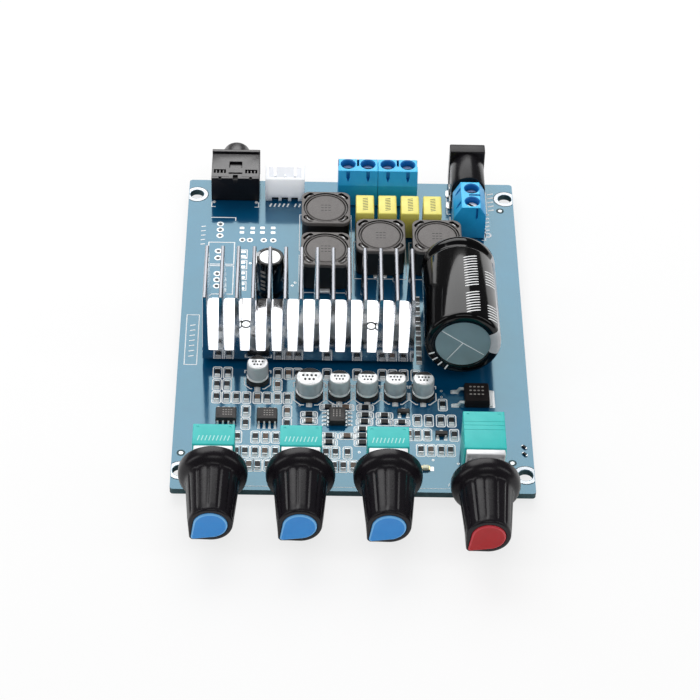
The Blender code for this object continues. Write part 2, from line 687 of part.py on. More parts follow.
def chips_with_leads():
    """Three small amplifiers in the control zone and the two power amplifiers under the heatsink."""
    y = CONTROL_ZONE - 5.0 * MM
    places = (("preamp_chip_left", 12.1 * MM, 0.0), ("preamp_chip_middle", 21.7 * MM, 0.0),
              ("preamp_chip_right", 38.1 * MM, math.radians(90)))
    for name, x, turn in places:
        leaded_chip(name, SMALL_CHIP_SIZE, SMALL_CHIP_PINS, SMALL_CHIP_PITCH, at(x, y, SEAT_GAP), turn)
    middle = (HEATSINK_FRONT + HEATSINK_BACK) / 2
    for name, share in (("amplifier_chip_left", 0.37), ("amplifier_chip_right", 0.63)):
        x = HEATSINK_LEFT + share * HEATSINK_WIDTH
        leaded_chip(name, AMPLIFIER_SIZE, AMPLIFIER_PINS, SMALL_CHIP_PITCH, at(x, middle, SEAT_GAP))


def voltage_regulator():
    """A flat power chip with two bent leads to the left and its metal tab to the right."""
    width, depth, height = REGULATOR_SIZE
    x = MAIN_CAP_X + REGULATOR_OFFSET_X
    y = CONTROL_ZONE - REGULATOR_FRONT + depth / 2
    chip = add("voltage_regulator", block(width, depth, height), "chip_black", at(x, y, SEAT_GAP))
    reach, tab_depth, tab_height = REGULATOR_TAB
    tab = block(reach + SINK, tab_depth, tab_height, width / 2 + reach / 2 - SINK / 2)
    foot = [(SINK, 1.2 * MM), (-0.8 * MM, 1.2 * MM), (-1.6 * MM, 0.4 * MM), (-2.6 * MM, 0.4 * MM),
            (-2.6 * MM, 0.0), (-1.4 * MM, 0.0), (-0.6 * MM, 0.8 * MM), (SINK, 0.8 * MM)]
    outline = [(u - width / 2, z) for u, z in foot]
    leads = []
    for side in (-1, 1):
        leads.append(moved(prism(outline, 0.7 * MM, "Y"), y=side * REGULATOR_LEAD_PITCH - 0.35 * MM))
    join(chip, [tab] + leads)


def can_capacitor(name, radius, x, y):
    """A short aluminium can with a bead at its foot, on a square base with two cut corners."""
    half = radius + BASE_RIM
    corner = half * 0.45
    side = half - corner
    front = [(-half, -side), (-side, -half), (side, -half), (half, -side)]
    outline = front + [(half, half), (-half, half)]
    base = add(name, prism(outline, BASE_HEIGHT), "can_silver", at(x, y, SEAT_GAP))
    edge = 0.3 * MM
    profile = [
        (0.0, CAN_HEIGHT),
        (radius - edge, CAN_HEIGHT),
        (radius, CAN_HEIGHT - edge),
        (radius, BASE_HEIGHT + 3 * edge),
        (radius - edge / 2, BASE_HEIGHT + 2 * edge),
        (radius, BASE_HEIGHT + edge),
        (radius, BASE_HEIGHT - SINK),
        (0.0, BASE_HEIGHT - SINK),
    ]
    join(base, [turned(profile)])


def can_capacitors():
    """One small can at the left, one large one, and a row of small ones beside it."""
    can_capacitor("chip_capacitor_1", SMALL_CAN_RADIUS, FIRST_CAN_X, CAN_ROW_Y + FIRST_CAN_BACK)
    can_capacitor("chip_capacitor_2", LARGE_CAN_RADIUS, LARGE_CAN_X, CAN_ROW_Y)
    for i in range(ROW_CAN_COUNT):
        x = LARGE_CAN_X + LARGE_CAN_PITCH + i * CAN_PITCH
        can_capacitor(f"chip_capacitor_{i + 3}", SMALL_CAN_RADIUS, x, CAN_ROW_Y)


def main_capacitor():
    """A long sleeved can that lies on its back rim, with two leads bent down into the board."""
    radius, length, edge = MAIN_CAP_RADIUS, MAIN_CAP_LENGTH, 0.8 * MM
    disc = radius - SLEEVE_RIM
    profile = [
        (0.0, length - SLEEVE_RECESS),
        (disc, length - SLEEVE_RECESS),
        (disc + SLEEVE_RECESS / 2, length),
        (radius - edge, length),
        (radius, length - edge),
        (radius, edge),
        (radius - edge, 0.0),
        (0.0, 0.0),
    ]
    # The can's own Z points forward along -Y and up by the tilt, and starts at its back end
    turn = (math.radians(90) - MAIN_CAP_TILT, 0.0, 0.0)
    axis_height = SEAT_GAP + radius * math.cos(MAIN_CAP_TILT)
    place = at(MAIN_CAP_X, MAIN_CAP_BACK, axis_height)
    can = add("main_capacitor", turned(profile, 36), "sleeve_black", place, turn)
    cosine, sine = math.cos(MAIN_CAP_TILT), math.sin(MAIN_CAP_TILT)
    leads = []
    for side in (-1, 1):
        # Out of the back end and down to the board, in world directions seen from the can's frame
        out = Vector((0.0, -sine, -cosine)) * LEAD_REACH
        down = Vector((0.0, -cosine, sine)) * (axis_height - SEAT_GAP)
        start = Vector((side * LEAD_SPACING / 2, 0.0, SINK))
        corner = Vector((side * LEAD_SPACING / 2, 0.0, 0.0)) + out
        leads.append(bent_lead([start, corner, corner + down]))
    join(can, leads)


def bent_lead(points):
    """A square wire through points in a plane of constant X."""
    half = LEAD_RADIUS
    rings = []
    for i, point in enumerate(points):
        before = (point - points[i - 1]).normalized() if i else None
        after = (points[i + 1] - point).normalized() if i + 1 < len(points) else None
        along = (before or after) + (after or before)
        along.normalize()
        side = Vector((0.0, -along.z, along.y))
        stretch = half / max(side.dot(Vector((0.0, -(before or after).z, (before or after).y))), 0.5)
        across = Vector((half, 0.0, 0.0))
        rings.append([point - across - side * stretch, point + across - side * stretch,
                      point + across + side * stretch, point - across + side * stretch])
    first = sum(rings[0], Vector()) / 4
    last = sum(rings[-1], Vector()) / 4
    return skin([[first]] + rings + [[last]])


def small_capacitor():
    """A slim sleeved can that stands up behind the heatsink."""
    radius, height, edge = SMALL_CAP_RADIUS, SMALL_CAP_HEIGHT, 0.4 * MM
    profile = [
        (0.0, height - edge / 2),
        (radius - 2 * edge, height - edge / 2),
        (radius - edge, height),
        (radius, height - edge),
        (radius, edge),
        (radius - edge, 0.0),
        (0.0, 0.0),
    ]
    y = HEATSINK_BACK + SMALL_CAP_GAP + radius
    add("small_capacitor", turned(profile), "sleeve_black", at(SMALL_CAP_X, y, SEAT_GAP))


def inductor(name, left, front):
    """A square ferrite block with a round core in a ring groove and a pocket in each corner."""
    size, height = INDUCTOR_SIZE, INDUCTOR_HEIGHT
    outline = rounded_rectangle(size, size, INDUCTOR_CORNER)
    place = at(left + size / 2, front + size / 2, SEAT_GAP)
    piece = add(name, prism(outline, height), "ferrite_grey", place)
    inner, outer = INDUCTOR_RING_RADIUS - INDUCTOR_RING_WIDTH, INDUCTOR_RING_RADIUS
    floor, top = height - INDUCTOR_RING_DEPTH, height + SINK
    section = ((inner, floor), (outer, floor), (outer, top), (inner, top), (inner, floor))
    groove = skin([[(x, y, z) for x, y in circle(radius)] for radius, z in section])
    bmesh.ops.remove_doubles(groove, verts=groove.verts, dist=0.001 * MM)
    bmesh.ops.recalc_face_normals(groove, faces=groove.faces)
    reach = size / 2 - INDUCTOR_CORNER + 0.1 * MM
    depth = 2 * INDUCTOR_RING_DEPTH
    pocket = INDUCTOR_POCKET_RADIUS
    corners = [(sx * reach, sy * reach) for sx in (-1, 1) for sy in (-1, 1)]
    pockets = [rod(pocket, depth + SINK, x, y, height - depth, sides=12) for x, y in corners]
    cut(piece, [groove] + pockets)


def inductors():
    """Two inductors one behind the other at the left, and two side by side at the right."""
    inductor("inductor_1", INDUCTOR_LEFT, REAR_INDUCTOR_FRONT)
    inductor("inductor_2", INDUCTOR_LEFT, LEFT_INDUCTOR_FRONT)
    inductor("inductor_3", RIGHT_INDUCTOR_LEFT, RIGHT_INDUCTOR_FRONT)
    inductor("inductor_4", RIGHT_INDUCTOR_LEFT + INDUCTOR_SIZE + INDUCTOR_PAIR_GAP, RIGHT_INDUCTOR_FRONT)


def film_capacitors():
    """Slim box capacitors in a row."""
    y = FILM_FRONT + FILM_DEPTH / 2
    for i, left in enumerate(film_places()):
        shape = block(FILM_WIDTH, FILM_DEPTH, FILM_HEIGHT)
        piece = add(f"film_capacitor_{i + 1}", shape, "film_yellow", at(left + FILM_WIDTH / 2, y, SEAT_GAP))
        soften(piece, FILM_BEVEL)


def audio_jack():
    """A socket for a small audio plug: a block with a flange, and a barrel that overhangs the board."""
    width, depth, height = JACK_WIDTH, JACK_DEPTH, JACK_HEIGHT
    front = BOARD_LENGTH + JACK_OVERHANG - depth
    place = at(JACK_LEFT + width / 2, front, SEAT_GAP)
    jack = add("audio_jack", block(width, depth, height, y=depth / 2), "jack_black", place)
    flange_y = depth - JACK_FLANGE / 2
    flange = block(width + 2 * SINK, JACK_FLANGE, height + JACK_FLANGE_RISE - SINK, 0.0, flange_y, SINK)
    axis = BARREL_AXIS_HEIGHT
    barrel = rod(BARREL_RADIUS, BARREL_LENGTH + SINK, 0.0, depth - SINK, axis, "Y")
    join(jack, [flange, barrel])
    bore_start = depth + BARREL_LENGTH - JACK_BORE_DEPTH
    bore = rod(JACK_BORE_RADIUS, JACK_BORE_DEPTH + SINK, 0.0, bore_start, axis, "Y")
    floor, pocket = height - JACK_POCKET_DEPTH, JACK_POCKET_DEPTH + SINK
    window_y = JACK_WINDOW_FRONT + JACK_WINDOW_DEPTH / 2
    window = block(JACK_WINDOW_WIDTH, JACK_WINDOW_DEPTH, pocket, 0.0, window_y, floor)
    slot_y = JACK_SLOT_FRONT + JACK_SLOT_DEPTH / 2
    slot_x = JACK_SLOT_SPREAD / 2
    slot_size = (JACK_SLOT_WIDTH, JACK_SLOT_DEPTH, pocket)
    slots = [block(*slot_size, side * slot_x, slot_y, floor) for side in (-1, 1)]
    cut(jack, [bore, window] + slots)


def audio_header():
    """A white socket for a plug of three contacts, open at the top, with its square pins."""
    width, depth, height, wall = HEADER_WIDTH, HEADER_DEPTH, HEADER_HEIGHT, HEADER_WALL
    back = BOARD_LENGTH - HEADER_SETBACK
    place = at(HEADER_LEFT + width / 2, back - depth / 2, SEAT_GAP)
    header = add("audio_header", block(width, depth, height), "header_white", place)
    cavity = block(width - 2 * wall, depth - 2 * wall, height - HEADER_FLOOR + SINK, z=HEADER_FLOOR)
    pins_x = [(i - (HEADER_PINS - 1) / 2) * HEADER_PITCH for i in range(HEADER_PINS)]
    notch_width, notch_height = HEADER_NOTCH
    notches = [block(notch_width, wall, notch_height + SINK, x, -depth / 2, -SINK) for x in pins_x]
    cut(header, [cavity] + notches)
    pin, pin_height = HEADER_PIN_WIDTH, height - HEADER_PIN_DROP - HEADER_FLOOR + SINK
    join(header, [block(pin, pin, pin_height, x, z=HEADER_FLOOR - SINK) for x in pins_x])


def screw_hole_depth():
    """From a terminal's top down to the screw's end, with its running gap."""
    return TERMINAL_SCREW_DROP + TERMINAL_SCREW_LENGTH + RUNNING_GAP


def terminal(name, place, turn, screws):
    """A two-way terminal: slope towards its own -Y, wire holes at its own +Y, and its screws."""
    width, depth, height = TERMINAL_WIDTH - MODULE_GAP, TERMINAL_DEPTH, TERMINAL_HEIGHT
    top = [(depth - TERMINAL_BACK_SLOPE, height), (TERMINAL_SLOPE, height), (0.0, TERMINAL_SHOULDER)]
    outline = [(0.0, 0.0), (depth, 0.0), (depth, TERMINAL_BACK_SHOULDER)] + top
    shape = moved(prism(outline, width, "X"), -width / 2)
    piece = add(name, shape, "terminal_blue", place, (0.0, 0.0, turn))
    hole_depth = screw_hole_depth()
    cutters = []
    for i in range(TERMINAL_WAYS):
        x = (i - (TERMINAL_WAYS - 1) / 2) * TERMINAL_PITCH
        hole = TERMINAL_SCREW_RADIUS + RUNNING_GAP
        cutters.append(rod(hole, hole_depth + SINK, x, SCREW_PLACE, height - hole_depth))
        wire = block(WIRE_HOLE_WIDTH, WIRE_HOLE_DEPTH + SINK, WIRE_HOLE_HEIGHT, x, 0.0, WIRE_HOLE_FLOOR)
        cutters.append(moved(wire, y=depth - WIRE_HOLE_DEPTH / 2 + SINK / 2))
        size = (PROBE_SLOT_WIDTH, PROBE_SLOT_DEPTH, PROBE_SLOT_HEIGHT)
        cutters.append(block(*size, x, PROBE_SLOT_DEPTH * 0.6, TERMINAL_SHOULDER))
    for cutter in cutters:
        cut(piece, [cutter])
    for i, screw_name in enumerate(screws):
        x = (i - (TERMINAL_WAYS - 1) / 2) * TERMINAL_PITCH
        shift = Vector((x, SCREW_PLACE, height - TERMINAL_SCREW_DROP - TERMINAL_SCREW_LENGTH))
        shift.rotate(piece.rotation_euler)
        terminal_screw(screw_name, place + shift)


def terminal_screw(name, place):
    """A slotted screw, whose own Z is its axis."""
    length = TERMINAL_SCREW_LENGTH
    screw = add(name, rod(TERMINAL_SCREW_RADIUS, length), "screw_plated", place)
    across, floor = 3 * TERMINAL_SCREW_RADIUS, length - SCREW_SLOT_DEPTH
    cut(screw, [block(across, SCREW_SLOT_WIDTH, SCREW_SLOT_DEPTH + SINK, z=floor)])


def terminals():
    """The speaker terminal, which is two modules side by side, and the power terminal, turned a quarter."""
    front = BOARD_LENGTH - TERMINAL_SETBACK - TERMINAL_DEPTH
    number = 1
    for i, side in enumerate(("left", "right")):
        x = SPEAKER_LEFT + (i + 0.5) * TERMINAL_WIDTH
        screws = [f"speaker_screw_{number + way}" for way in range(TERMINAL_WAYS)]
        terminal(f"speaker_terminal_{side}", at(x, front, SEAT_GAP), 0.0, screws)
        number += TERMINAL_WAYS
    y = DC_TERMINAL_FRONT + TERMINAL_WIDTH / 2
    place = at(DC_X - TERMINAL_DEPTH / 2, y, SEAT_GAP)
    terminal("power_terminal", place, math.radians(-90), ["power_screw_back", "power_screw_front"])


def dc_jack():
    """A power socket: a square flange at the back and a round-topped body, bored for the plug."""
    half, axis, radius = DC_WIDTH / 2, DC_AXIS_HEIGHT, DC_BODY_RADIUS
    body_length = DC_LENGTH - DC_FLANGE
    turns = [math.pi * i / 12 for i in range(13)]
    arch = [(radius * math.cos(a), axis + radius * math.sin(a)) for a in turns]
    body = prism([(-radius, 0.0), (radius, 0.0)] + arch, body_length + SINK, "Y")
    jack = add("dc_jack", body, "jack_black", at(DC_X, DC_FRONT, SEAT_GAP))
    flange = block(2 * half, DC_FLANGE, DC_HEIGHT, 0.0, body_length + DC_FLANGE / 2)
    join(jack, [flange])
    pin_hole = DC_PIN_RADIUS + SEAT_GAP
    bore = rod(DC_BORE_RADIUS, DC_BORE_DEPTH + SINK, 0.0, DC_LENGTH - DC_BORE_DEPTH, axis, "Y")
    through = rod(pin_hole, DC_LENGTH, 0.0, -SINK, axis, "Y", 16)
    cut(jack, [bore])
    cut(jack, [through])
    pin_length = DC_LENGTH - DC_PIN_DROP
    pin = rod(DC_PIN_RADIUS, pin_length, axis="Y", sides=16)
    add("dc_jack_pin", pin, "steel", at(DC_X, DC_FRONT, SEAT_GAP + axis))


def teardrop(radius, corner):
    """A circle drawn out to a point at the pointer's angle, as in the knob's stem and cap."""
    spread = math.acos(radius / corner)
    count = 20
    points = [(corner * math.cos(POINTER_ANGLE), corner * math.sin(POINTER_ANGLE))]
    for i in range(count + 1):
        angle = POINTER_ANGLE + spread + (2 * math.pi - 2 * spread) * i / count
        points.append((radius * math.cos(angle), radius * math.sin(angle)))
    return points


def knob_shape():
    """The hollow skirt and the ribbed stem, drawn out to a pointer, with the recess and bore behind."""
    sides = 4 * RIB_COUNT
    angles = [2 * math.pi * i / sides for i in range(sides)]

    def ring(radius, z):
        return [(radius * math.cos(a), radius * math.sin(a), z) for a in angles]

    def stem_ring(radius, z):
        points = []
        for i, a in enumerate(angles):
            reach = radius - (RIB_GROOVE if i % 4 == 2 else 0.0)
            off = abs((a - POINTER_ANGLE + math.pi) % (2 * math.pi) - math.pi)
            if off < math.acos(min(radius / POINTER_RADIUS, 1.0)):
                reach = max(reach, radius / math.cos(math.acos(radius / POINTER_RADIUS) - off))
            points.append((reach * math.cos(a), reach * math.sin(a), z))
        return points

    plain_tip = KNOB_LENGTH - CAP_POCKET - 2 * CAP_CORNER_RIM
    hollow = SKIRT_RADIUS - SKIRT_WALL
    recess_depth = BUSHING_LENGTH - PLATE_SETBACK - KNOB_STANDOFF + 2 * RUNNING_GAP
    bore = SHAFT_RADIUS + RUNNING_GAP
    bore_depth = SHAFT_END - KNOB_STANDOFF + RUNNING_GAP
    shape = skin([
        [(0.0, 0.0, bore_depth)],
        ring(bore, bore_depth),
        ring(bore, recess_depth),
        ring(RECESS_RADIUS, recess_depth),
        ring(RECESS_RADIUS, HOLLOW_DEPTH),
        ring(HOLLOW_FLOOR_RADIUS, HOLLOW_DEPTH),
        ring(hollow, HOLLOW_RIM),
        ring(hollow, 0.0),
        ring(SKIRT_RADIUS, 0.0),
        ring(SKIRT_RADIUS, SKIRT_RIM),
        ring((SKIRT_RADIUS + STEM_ROOT_RADIUS) / 2, SKIRT_DEPTH * 0.8),
        stem_ring(STEM_ROOT_RADIUS, SKIRT_DEPTH),
        stem_ring(STEM_TIP_RADIUS, plain_tip),
        stem_ring(STEM_TIP_RADIUS, KNOB_LENGTH),
        [(0.0, 0.0, KNOB_LENGTH)],
    ])
    return shape


def knob_standoff(index):
    """The gap between the board's front edge and a knob: the volume knob stands further out."""
    return VOLUME_KNOB_STANDOFF if index == CONTROL_COUNT - 1 else KNOB_STANDOFF


def control_finishes():
    """Blue caps on the tone knobs, and a red one on the volume knob at the right."""
    return ["cap_blue"] * (CONTROL_COUNT - 1) + ["cap_red"]


def controls():
    """Each control, from its housing to the cap on its knob."""
    forward = (math.radians(90), 0.0, 0.0)
    for index, (x, colour) in enumerate(zip(control_places(), control_finishes())):
        number = index + 1
        control_housing(number, x, control_depth(index) - SEAT_GAP)
        control_plate(number, x)
        axis_place = at(x, PLATE_SETBACK, AXIS_HEIGHT)
        standoff = knob_standoff(index)
        shaft(number, axis_place, forward, standoff - KNOB_STANDOFF)
        knob_place = at(x, -standoff, AXIS_HEIGHT)
        knob(number, knob_place, forward, colour)


def control_housing(number, x, depth):
    """The moulded housing behind the plate, with a blind hole for the shaft's tail."""
    place = at(x, PLATE_SETBACK + PLATE_THICKNESS + SEAT_GAP, SEAT_GAP)
    shape = block(HOUSING_WIDTH, depth, HOUSING_HEIGHT, y=depth / 2)
    housing = add(f"control_housing_{number}", shape, "housing_teal", place)
    soften(housing, HOUSING_BEVEL)
    hole = NECK_RADIUS + RUNNING_GAP
    cut(housing, [rod(hole, SHAFT_TAIL + SINK, 0.0, -SINK, AXIS_HEIGHT - SEAT_GAP, "Y")])


def control_plate(number, x):
    """The metal front plate with its bushing, in one piece, bored for the shaft's neck."""
    width = HOUSING_WIDTH - 2 * PLATE_SIDE_INSET
    place = at(x, PLATE_SETBACK, SEAT_GAP)
    shape = block(width, PLATE_THICKNESS, HOUSING_HEIGHT, y=PLATE_THICKNESS / 2)
    plate = add(f"control_plate_{number}", shape, "steel", place)
    axis = AXIS_HEIGHT - SEAT_GAP
    join(plate, [rod(BUSHING_RADIUS, BUSHING_LENGTH + SINK, 0.0, -BUSHING_LENGTH, axis, "Y")])
    length = BUSHING_LENGTH + PLATE_THICKNESS + 2 * SINK
    cut(plate, [rod(NECK_RADIUS + RUNNING_GAP, length, 0.0, -BUSHING_LENGTH - SINK, axis, "Y")])


def shaft(number, place, turn, extra):
    """A shaft with a thin neck in the bushing and a flat on its thick end; its own Z points forward."""
    tail = PLATE_THICKNESS + SEAT_GAP + SHAFT_TAIL - RUNNING_GAP
    shoulder = BUSHING_LENGTH + RUNNING_GAP
    end = SHAFT_END + PLATE_SETBACK + extra
    profile = [
        (0.0, end),
        (SHAFT_RADIUS - 0.3 * MM, end),
        (SHAFT_RADIUS, end - 0.3 * MM),
        (SHAFT_RADIUS, shoulder),
        (NECK_RADIUS, shoulder),
        (NECK_RADIUS, -tail),
        (0.0, -tail),
    ]
    piece = add(f"control_shaft_{number}", turned(profile), "bare_aluminium", place, turn)
    flat_length = end - shoulder - 2.0 * MM
    flat = block(2 * SHAFT_RADIUS, SHAFT_FLAT + SINK, flat_length + SINK, z=end - flat_length)
    cut(piece, [moved(flat, y=-SHAFT_RADIUS + SHAFT_FLAT / 2 - SINK)])


def knob(number, place, turn, colour):
    """The knob and the cap pressed into its end."""
    piece = add(f"knob_{number}", knob_shape(), "knob_black", place, turn)
    pocket_radius, pocket_corner = STEM_TIP_RADIUS - CAP_RIM, POINTER_RADIUS - CAP_CORNER_RIM
    floor = KNOB_LENGTH - CAP_POCKET
    pocket = moved(prism(teardrop(pocket_radius, pocket_corner), CAP_POCKET + SINK), z=floor)
    cut(piece, [pocket])
    gap = SEAT_GAP / 2
    shape = prism(teardrop(pocket_radius - gap, pocket_corner - 1.4 * gap), CAP_POCKET + CAP_CROWN - gap)
    cap = add(f"knob_cap_{number}", moved(shape, z=floor + gap), colour, place, turn)
    soften(cap, CAP_BEVEL)


def clear_scene():
    """Removes what the scene holds before the model is made."""
    for thing in list(bpy.data.objects):
        bpy.data.objects.remove(thing)


def main():
    """Makes the whole board."""
    clear_scene()
    circuit_board()
    heatsink()
    heatsink_screws()
    chips_with_leads()
    voltage_regulator()
    can_capacitors()
    main_capacitor()
    small_capacitor()
    inductors()
    film_capacitors()
    audio_jack()
    audio_header()
    terminals()
    dc_jack()
    controls()


main()
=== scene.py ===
# %% [markdown]
# # An audio amplifier board
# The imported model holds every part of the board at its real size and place. This lesson gives
# each part its look: moulded plastic, bare aluminium, solder, print and glossy solder mask.
# Shapes are made in millimetres, because that is how electronic parts are drawn, and are turned
# into metres once, when a piece is built.

# %% The frame
import math
import random

import bmesh
import bpy
from mathutils import Euler, Matrix, Vector


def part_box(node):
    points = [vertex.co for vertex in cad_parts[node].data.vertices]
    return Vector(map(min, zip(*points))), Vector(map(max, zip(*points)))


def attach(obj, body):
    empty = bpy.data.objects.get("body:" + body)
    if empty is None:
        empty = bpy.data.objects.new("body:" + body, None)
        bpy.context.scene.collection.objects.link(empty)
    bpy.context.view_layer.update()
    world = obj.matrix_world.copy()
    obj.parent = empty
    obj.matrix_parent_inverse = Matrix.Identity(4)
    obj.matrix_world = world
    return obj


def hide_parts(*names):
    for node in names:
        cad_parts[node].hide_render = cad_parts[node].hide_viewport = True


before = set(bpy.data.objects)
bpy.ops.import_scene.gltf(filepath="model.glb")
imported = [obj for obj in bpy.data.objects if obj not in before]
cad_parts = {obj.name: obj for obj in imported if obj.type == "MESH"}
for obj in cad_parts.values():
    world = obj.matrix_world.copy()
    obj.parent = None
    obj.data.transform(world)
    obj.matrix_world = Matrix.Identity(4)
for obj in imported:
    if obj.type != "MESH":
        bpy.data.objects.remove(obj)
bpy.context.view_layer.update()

# A millimetre in metres, the gap under the raised parts, and the board's thickness
MM = 0.001
SEAT = 0.3
THICK = 1.6


def span(node):
    """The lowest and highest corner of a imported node, in millimetres."""
    low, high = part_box(node)
    return low / MM, high / MM


def centre(node):
    """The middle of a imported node, seen from above."""
    low, high = span(node)
    return (low.x + high.x) / 2, (low.y + high.y) / 2


def extent(node):
    """The width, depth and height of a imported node."""
    low, high = span(node)
    return high.x - low.x, high.y - low.y, high.z - low.z


def front_edge(node, z):
    """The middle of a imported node's front edge, at a height."""
    return centre(node)[0], span(node)[0].y, z


BOARD_LOW, BOARD_HIGH = span("circuit_board")
LEFT, FRONT = BOARD_LOW.x, BOARD_LOW.y
WIDTH, LENGTH = BOARD_HIGH.x - LEFT, BOARD_HIGH.y - FRONT
TOP = span("small_capacitor")[0].z - SEAT


def spot(x, y, z=0.0):
    """A place given from the board's front left corner and its top face."""
    return Vector((LEFT + x, FRONT + y, TOP + z))


def on_board(node):
    """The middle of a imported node, measured from the board's front left corner."""
    x, y = centre(node)
    return x - LEFT, y - FRONT


def linked(name, data):
    """A new object of this data, in the scene."""
    holder = bpy.data.objects.new(name, data)
    bpy.context.scene.collection.objects.link(holder)
    return holder


print(f"board {WIDTH:.1f} x {LENGTH:.1f} mm, top face at {TOP:.1f} mm, {len(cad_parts)} nodes")

# %% [markdown]
# ## Camera
# The photo was taken with a long lens from in front and above, a little off the middle. A camera
# could be aimed with a constraint, but here its three turns are known, so its axes are worked out
# and written into its matrix. The place is measured from the middle of the board's front edge.

# %% Camera
CAMERA_PLACE = Vector((-12.733, -385.308, 410.087))
CAMERA_DOWN = math.radians(43.5)
CAMERA_YAW = math.radians(-1.62)
CAMERA_ROLL = math.radians(-2.0)
CAMERA_LENS = 127.1


def camera():
    """The camera, from its place and its turns."""
    yaw = Matrix.Rotation(CAMERA_YAW, 3, "Z")
    forward = yaw @ Vector((0.0, math.cos(CAMERA_DOWN), -math.sin(CAMERA_DOWN)))
    right = yaw @ Vector((1.0, 0.0, 0.0))
    down = forward.cross(right)
    across = right * math.cos(CAMERA_ROLL) + down * math.sin(CAMERA_ROLL)
    below = down * math.cos(CAMERA_ROLL) - right * math.sin(CAMERA_ROLL)
    data = bpy.data.cameras.new("camera")
    data.sensor_width = 36.0
    data.sensor_fit = "HORIZONTAL"
    data.lens = CAMERA_LENS
    data.clip_start = 0.01
    holder = linked("camera", data)
    turn = Matrix((across, -below, -forward)).transposed().to_4x4()
    place = (spot(WIDTH / 2, 0.0) + CAMERA_PLACE) * MM
    holder.matrix_world = Matrix.Translation(place) @ turn
    bpy.context.scene.camera = holder
    return holder


photo_camera = camera()
print("camera at", [round(c, 3) for c in photo_camera.matrix_world.translation])

# %% [markdown]
# ## Shader maths
# A finish is a tree of nodes. Written with plain links, even a small sum takes many lines, so one
# class wraps a socket and lets Python's own operators add the nodes. Numbers go through Math
# nodes, while colours and vectors go through Mix and Vector Math, which keep all their parts.

# %% Values and finishes
class Value:
    """A node's output in an expression."""

    def __init__(self, finish, socket):
        self.finish = finish
        self.socket = socket

    def is_vector(self):
        return self.socket.type == "VECTOR"

    def pair(self, operation, first, second):
        """A node that takes two values: Vector Math where one is a vector, otherwise Math."""
        vectors = [v for v in (first, second) if isinstance(v, Value) and v.is_vector()]
        kind = "ShaderNodeVectorMath" if vectors else "ShaderNodeMath"
        return self.finish.node(kind, {"operation": operation}, {0: first, 1: second})

    def __add__(self, other):
        return self.pair("ADD", self, other)

    __radd__ = __add__

    def __sub__(self, other):
        return self.pair("SUBTRACT", self, other)

    def __rsub__(self, other):
        return self.pair("SUBTRACT", other, self)

    def __mul__(self, other):
        if self.is_vector() and isinstance(other, (int, float)):
            return self.pair("MULTIPLY", self, (other, other, other))
        return self.pair("MULTIPLY", self, other)

    __rmul__ = __mul__

    def above(self, edge):
        """One where this value is more than the edge, and zero elsewhere."""
        return self.pair("GREATER_THAN", self, edge)

    def part(self, axis):
        """One number of a vector: axis is X, Y or Z."""
        return self.finish.node("ShaderNodeSeparateXYZ", {}, {0: self}, axis)

    def fade(self, low, high, start=0.0, end=1.0):
        """This value moved from the range low to high into start to end, and held there."""
        limits = {"From Min": low, "From Max": high, "To Min": start, "To Max": end}
        return self.finish.node("ShaderNodeMapRange", {"clamp": True}, {"Value": self, **limits})


def tone(red, green, blue):
    """A colour seen as numbers from 0 to 255, turned into the linear light that shaders use."""
    parts = [c / 255 for c in (red, green, blue)]
    linear = [c / 12.92 if c <= 0.04045 else ((c + 0.055) / 1.055) ** 2.4 for c in parts]
    return (*linear, 1.0)


def darker(colour, share):
    """A linear colour with this share of its light."""
    return tuple(c * share for c in colour[:3]) + (1.0,)


class Finish:
    """A material under construction."""

    def __init__(self, name, **look):
        self.material = bpy.data.materials.new(name)
        self.material.use_nodes = True
        self.tree = self.material.node_tree
        self.shader = self.tree.nodes["Principled BSDF"]
        self.set(**look)

    def set(self, **look):
        """Sets or links sockets of the shader: base_color is Base Color, and so on."""
        for name, value in look.items():
            label = name.replace("_", " ").title().replace("Ior", "IOR")
            self.feed(self.shader.inputs[label], value)

    def feed(self, socket, value):
        """Links a value to a socket, or writes a number or colour there."""
        if isinstance(value, Value):
            self.tree.links.new(value.socket, socket)
        else:
            socket.default_value = value

    def node(self, kind, settings=None, inputs=None, output=0):
        """Any node: its settings are set first, then its inputs, and its output comes back."""
        node = self.tree.nodes.new(kind)
        for name, value in (settings or {}).items():
            setattr(node, name, value)
        for name, value in (inputs or {}).items():
            self.feed(node.inputs[name], value)
        return Value(self, node.outputs[output])

    def place(self, stretch=(1.0, 1.0, 1.0)):
        """The point on the piece in millimetres, stretched along the axes."""
        point = self.node("ShaderNodeTexCoord", {}, {}, "Object")
        scale = tuple(s / MM for s in stretch)
        return self.node("ShaderNodeVectorMath", {"operation": "MULTIPLY"}, {0: point, 1: scale})

    def noise(self, point, size, detail=2.0):
        """Soft noise from 0 to 1, whose lumps are about this many millimetres across."""
        inputs = {"Vector": point, "Scale": 1.0 / size, "Detail": detail}
        return self.node("ShaderNodeTexNoise", {}, inputs, "Fac")

    def blend(self, first, second, amount):
        """A colour between two, through a Mix node."""
        settings = {"data_type": "RGBA", "clamp_factor": True}
        return self.node("ShaderNodeMix", settings, {0: amount, 6: first, 7: second}, 2)

    def relief(self, height, depth):
        """Feeds the normal with a bump of this depth in millimetres."""
        inputs = {"Height": height, "Distance": depth * MM, "Strength": 1.0}
        self.set(normal=self.node("ShaderNodeBump", {}, inputs, "Normal"))


print("shader tools are ready")

# %% [markdown]
# ## Moulded plastic
# Most parts here are moulded: sockets, terminals, knobs and chips. Such plastic has one colour,
# but its skin is never perfect. Fine grain from the mould, faint flow marks and small changes of
# gloss tell the eye what it is. One function with a few numbers gives them all, which keeps the
# set of finishes even.

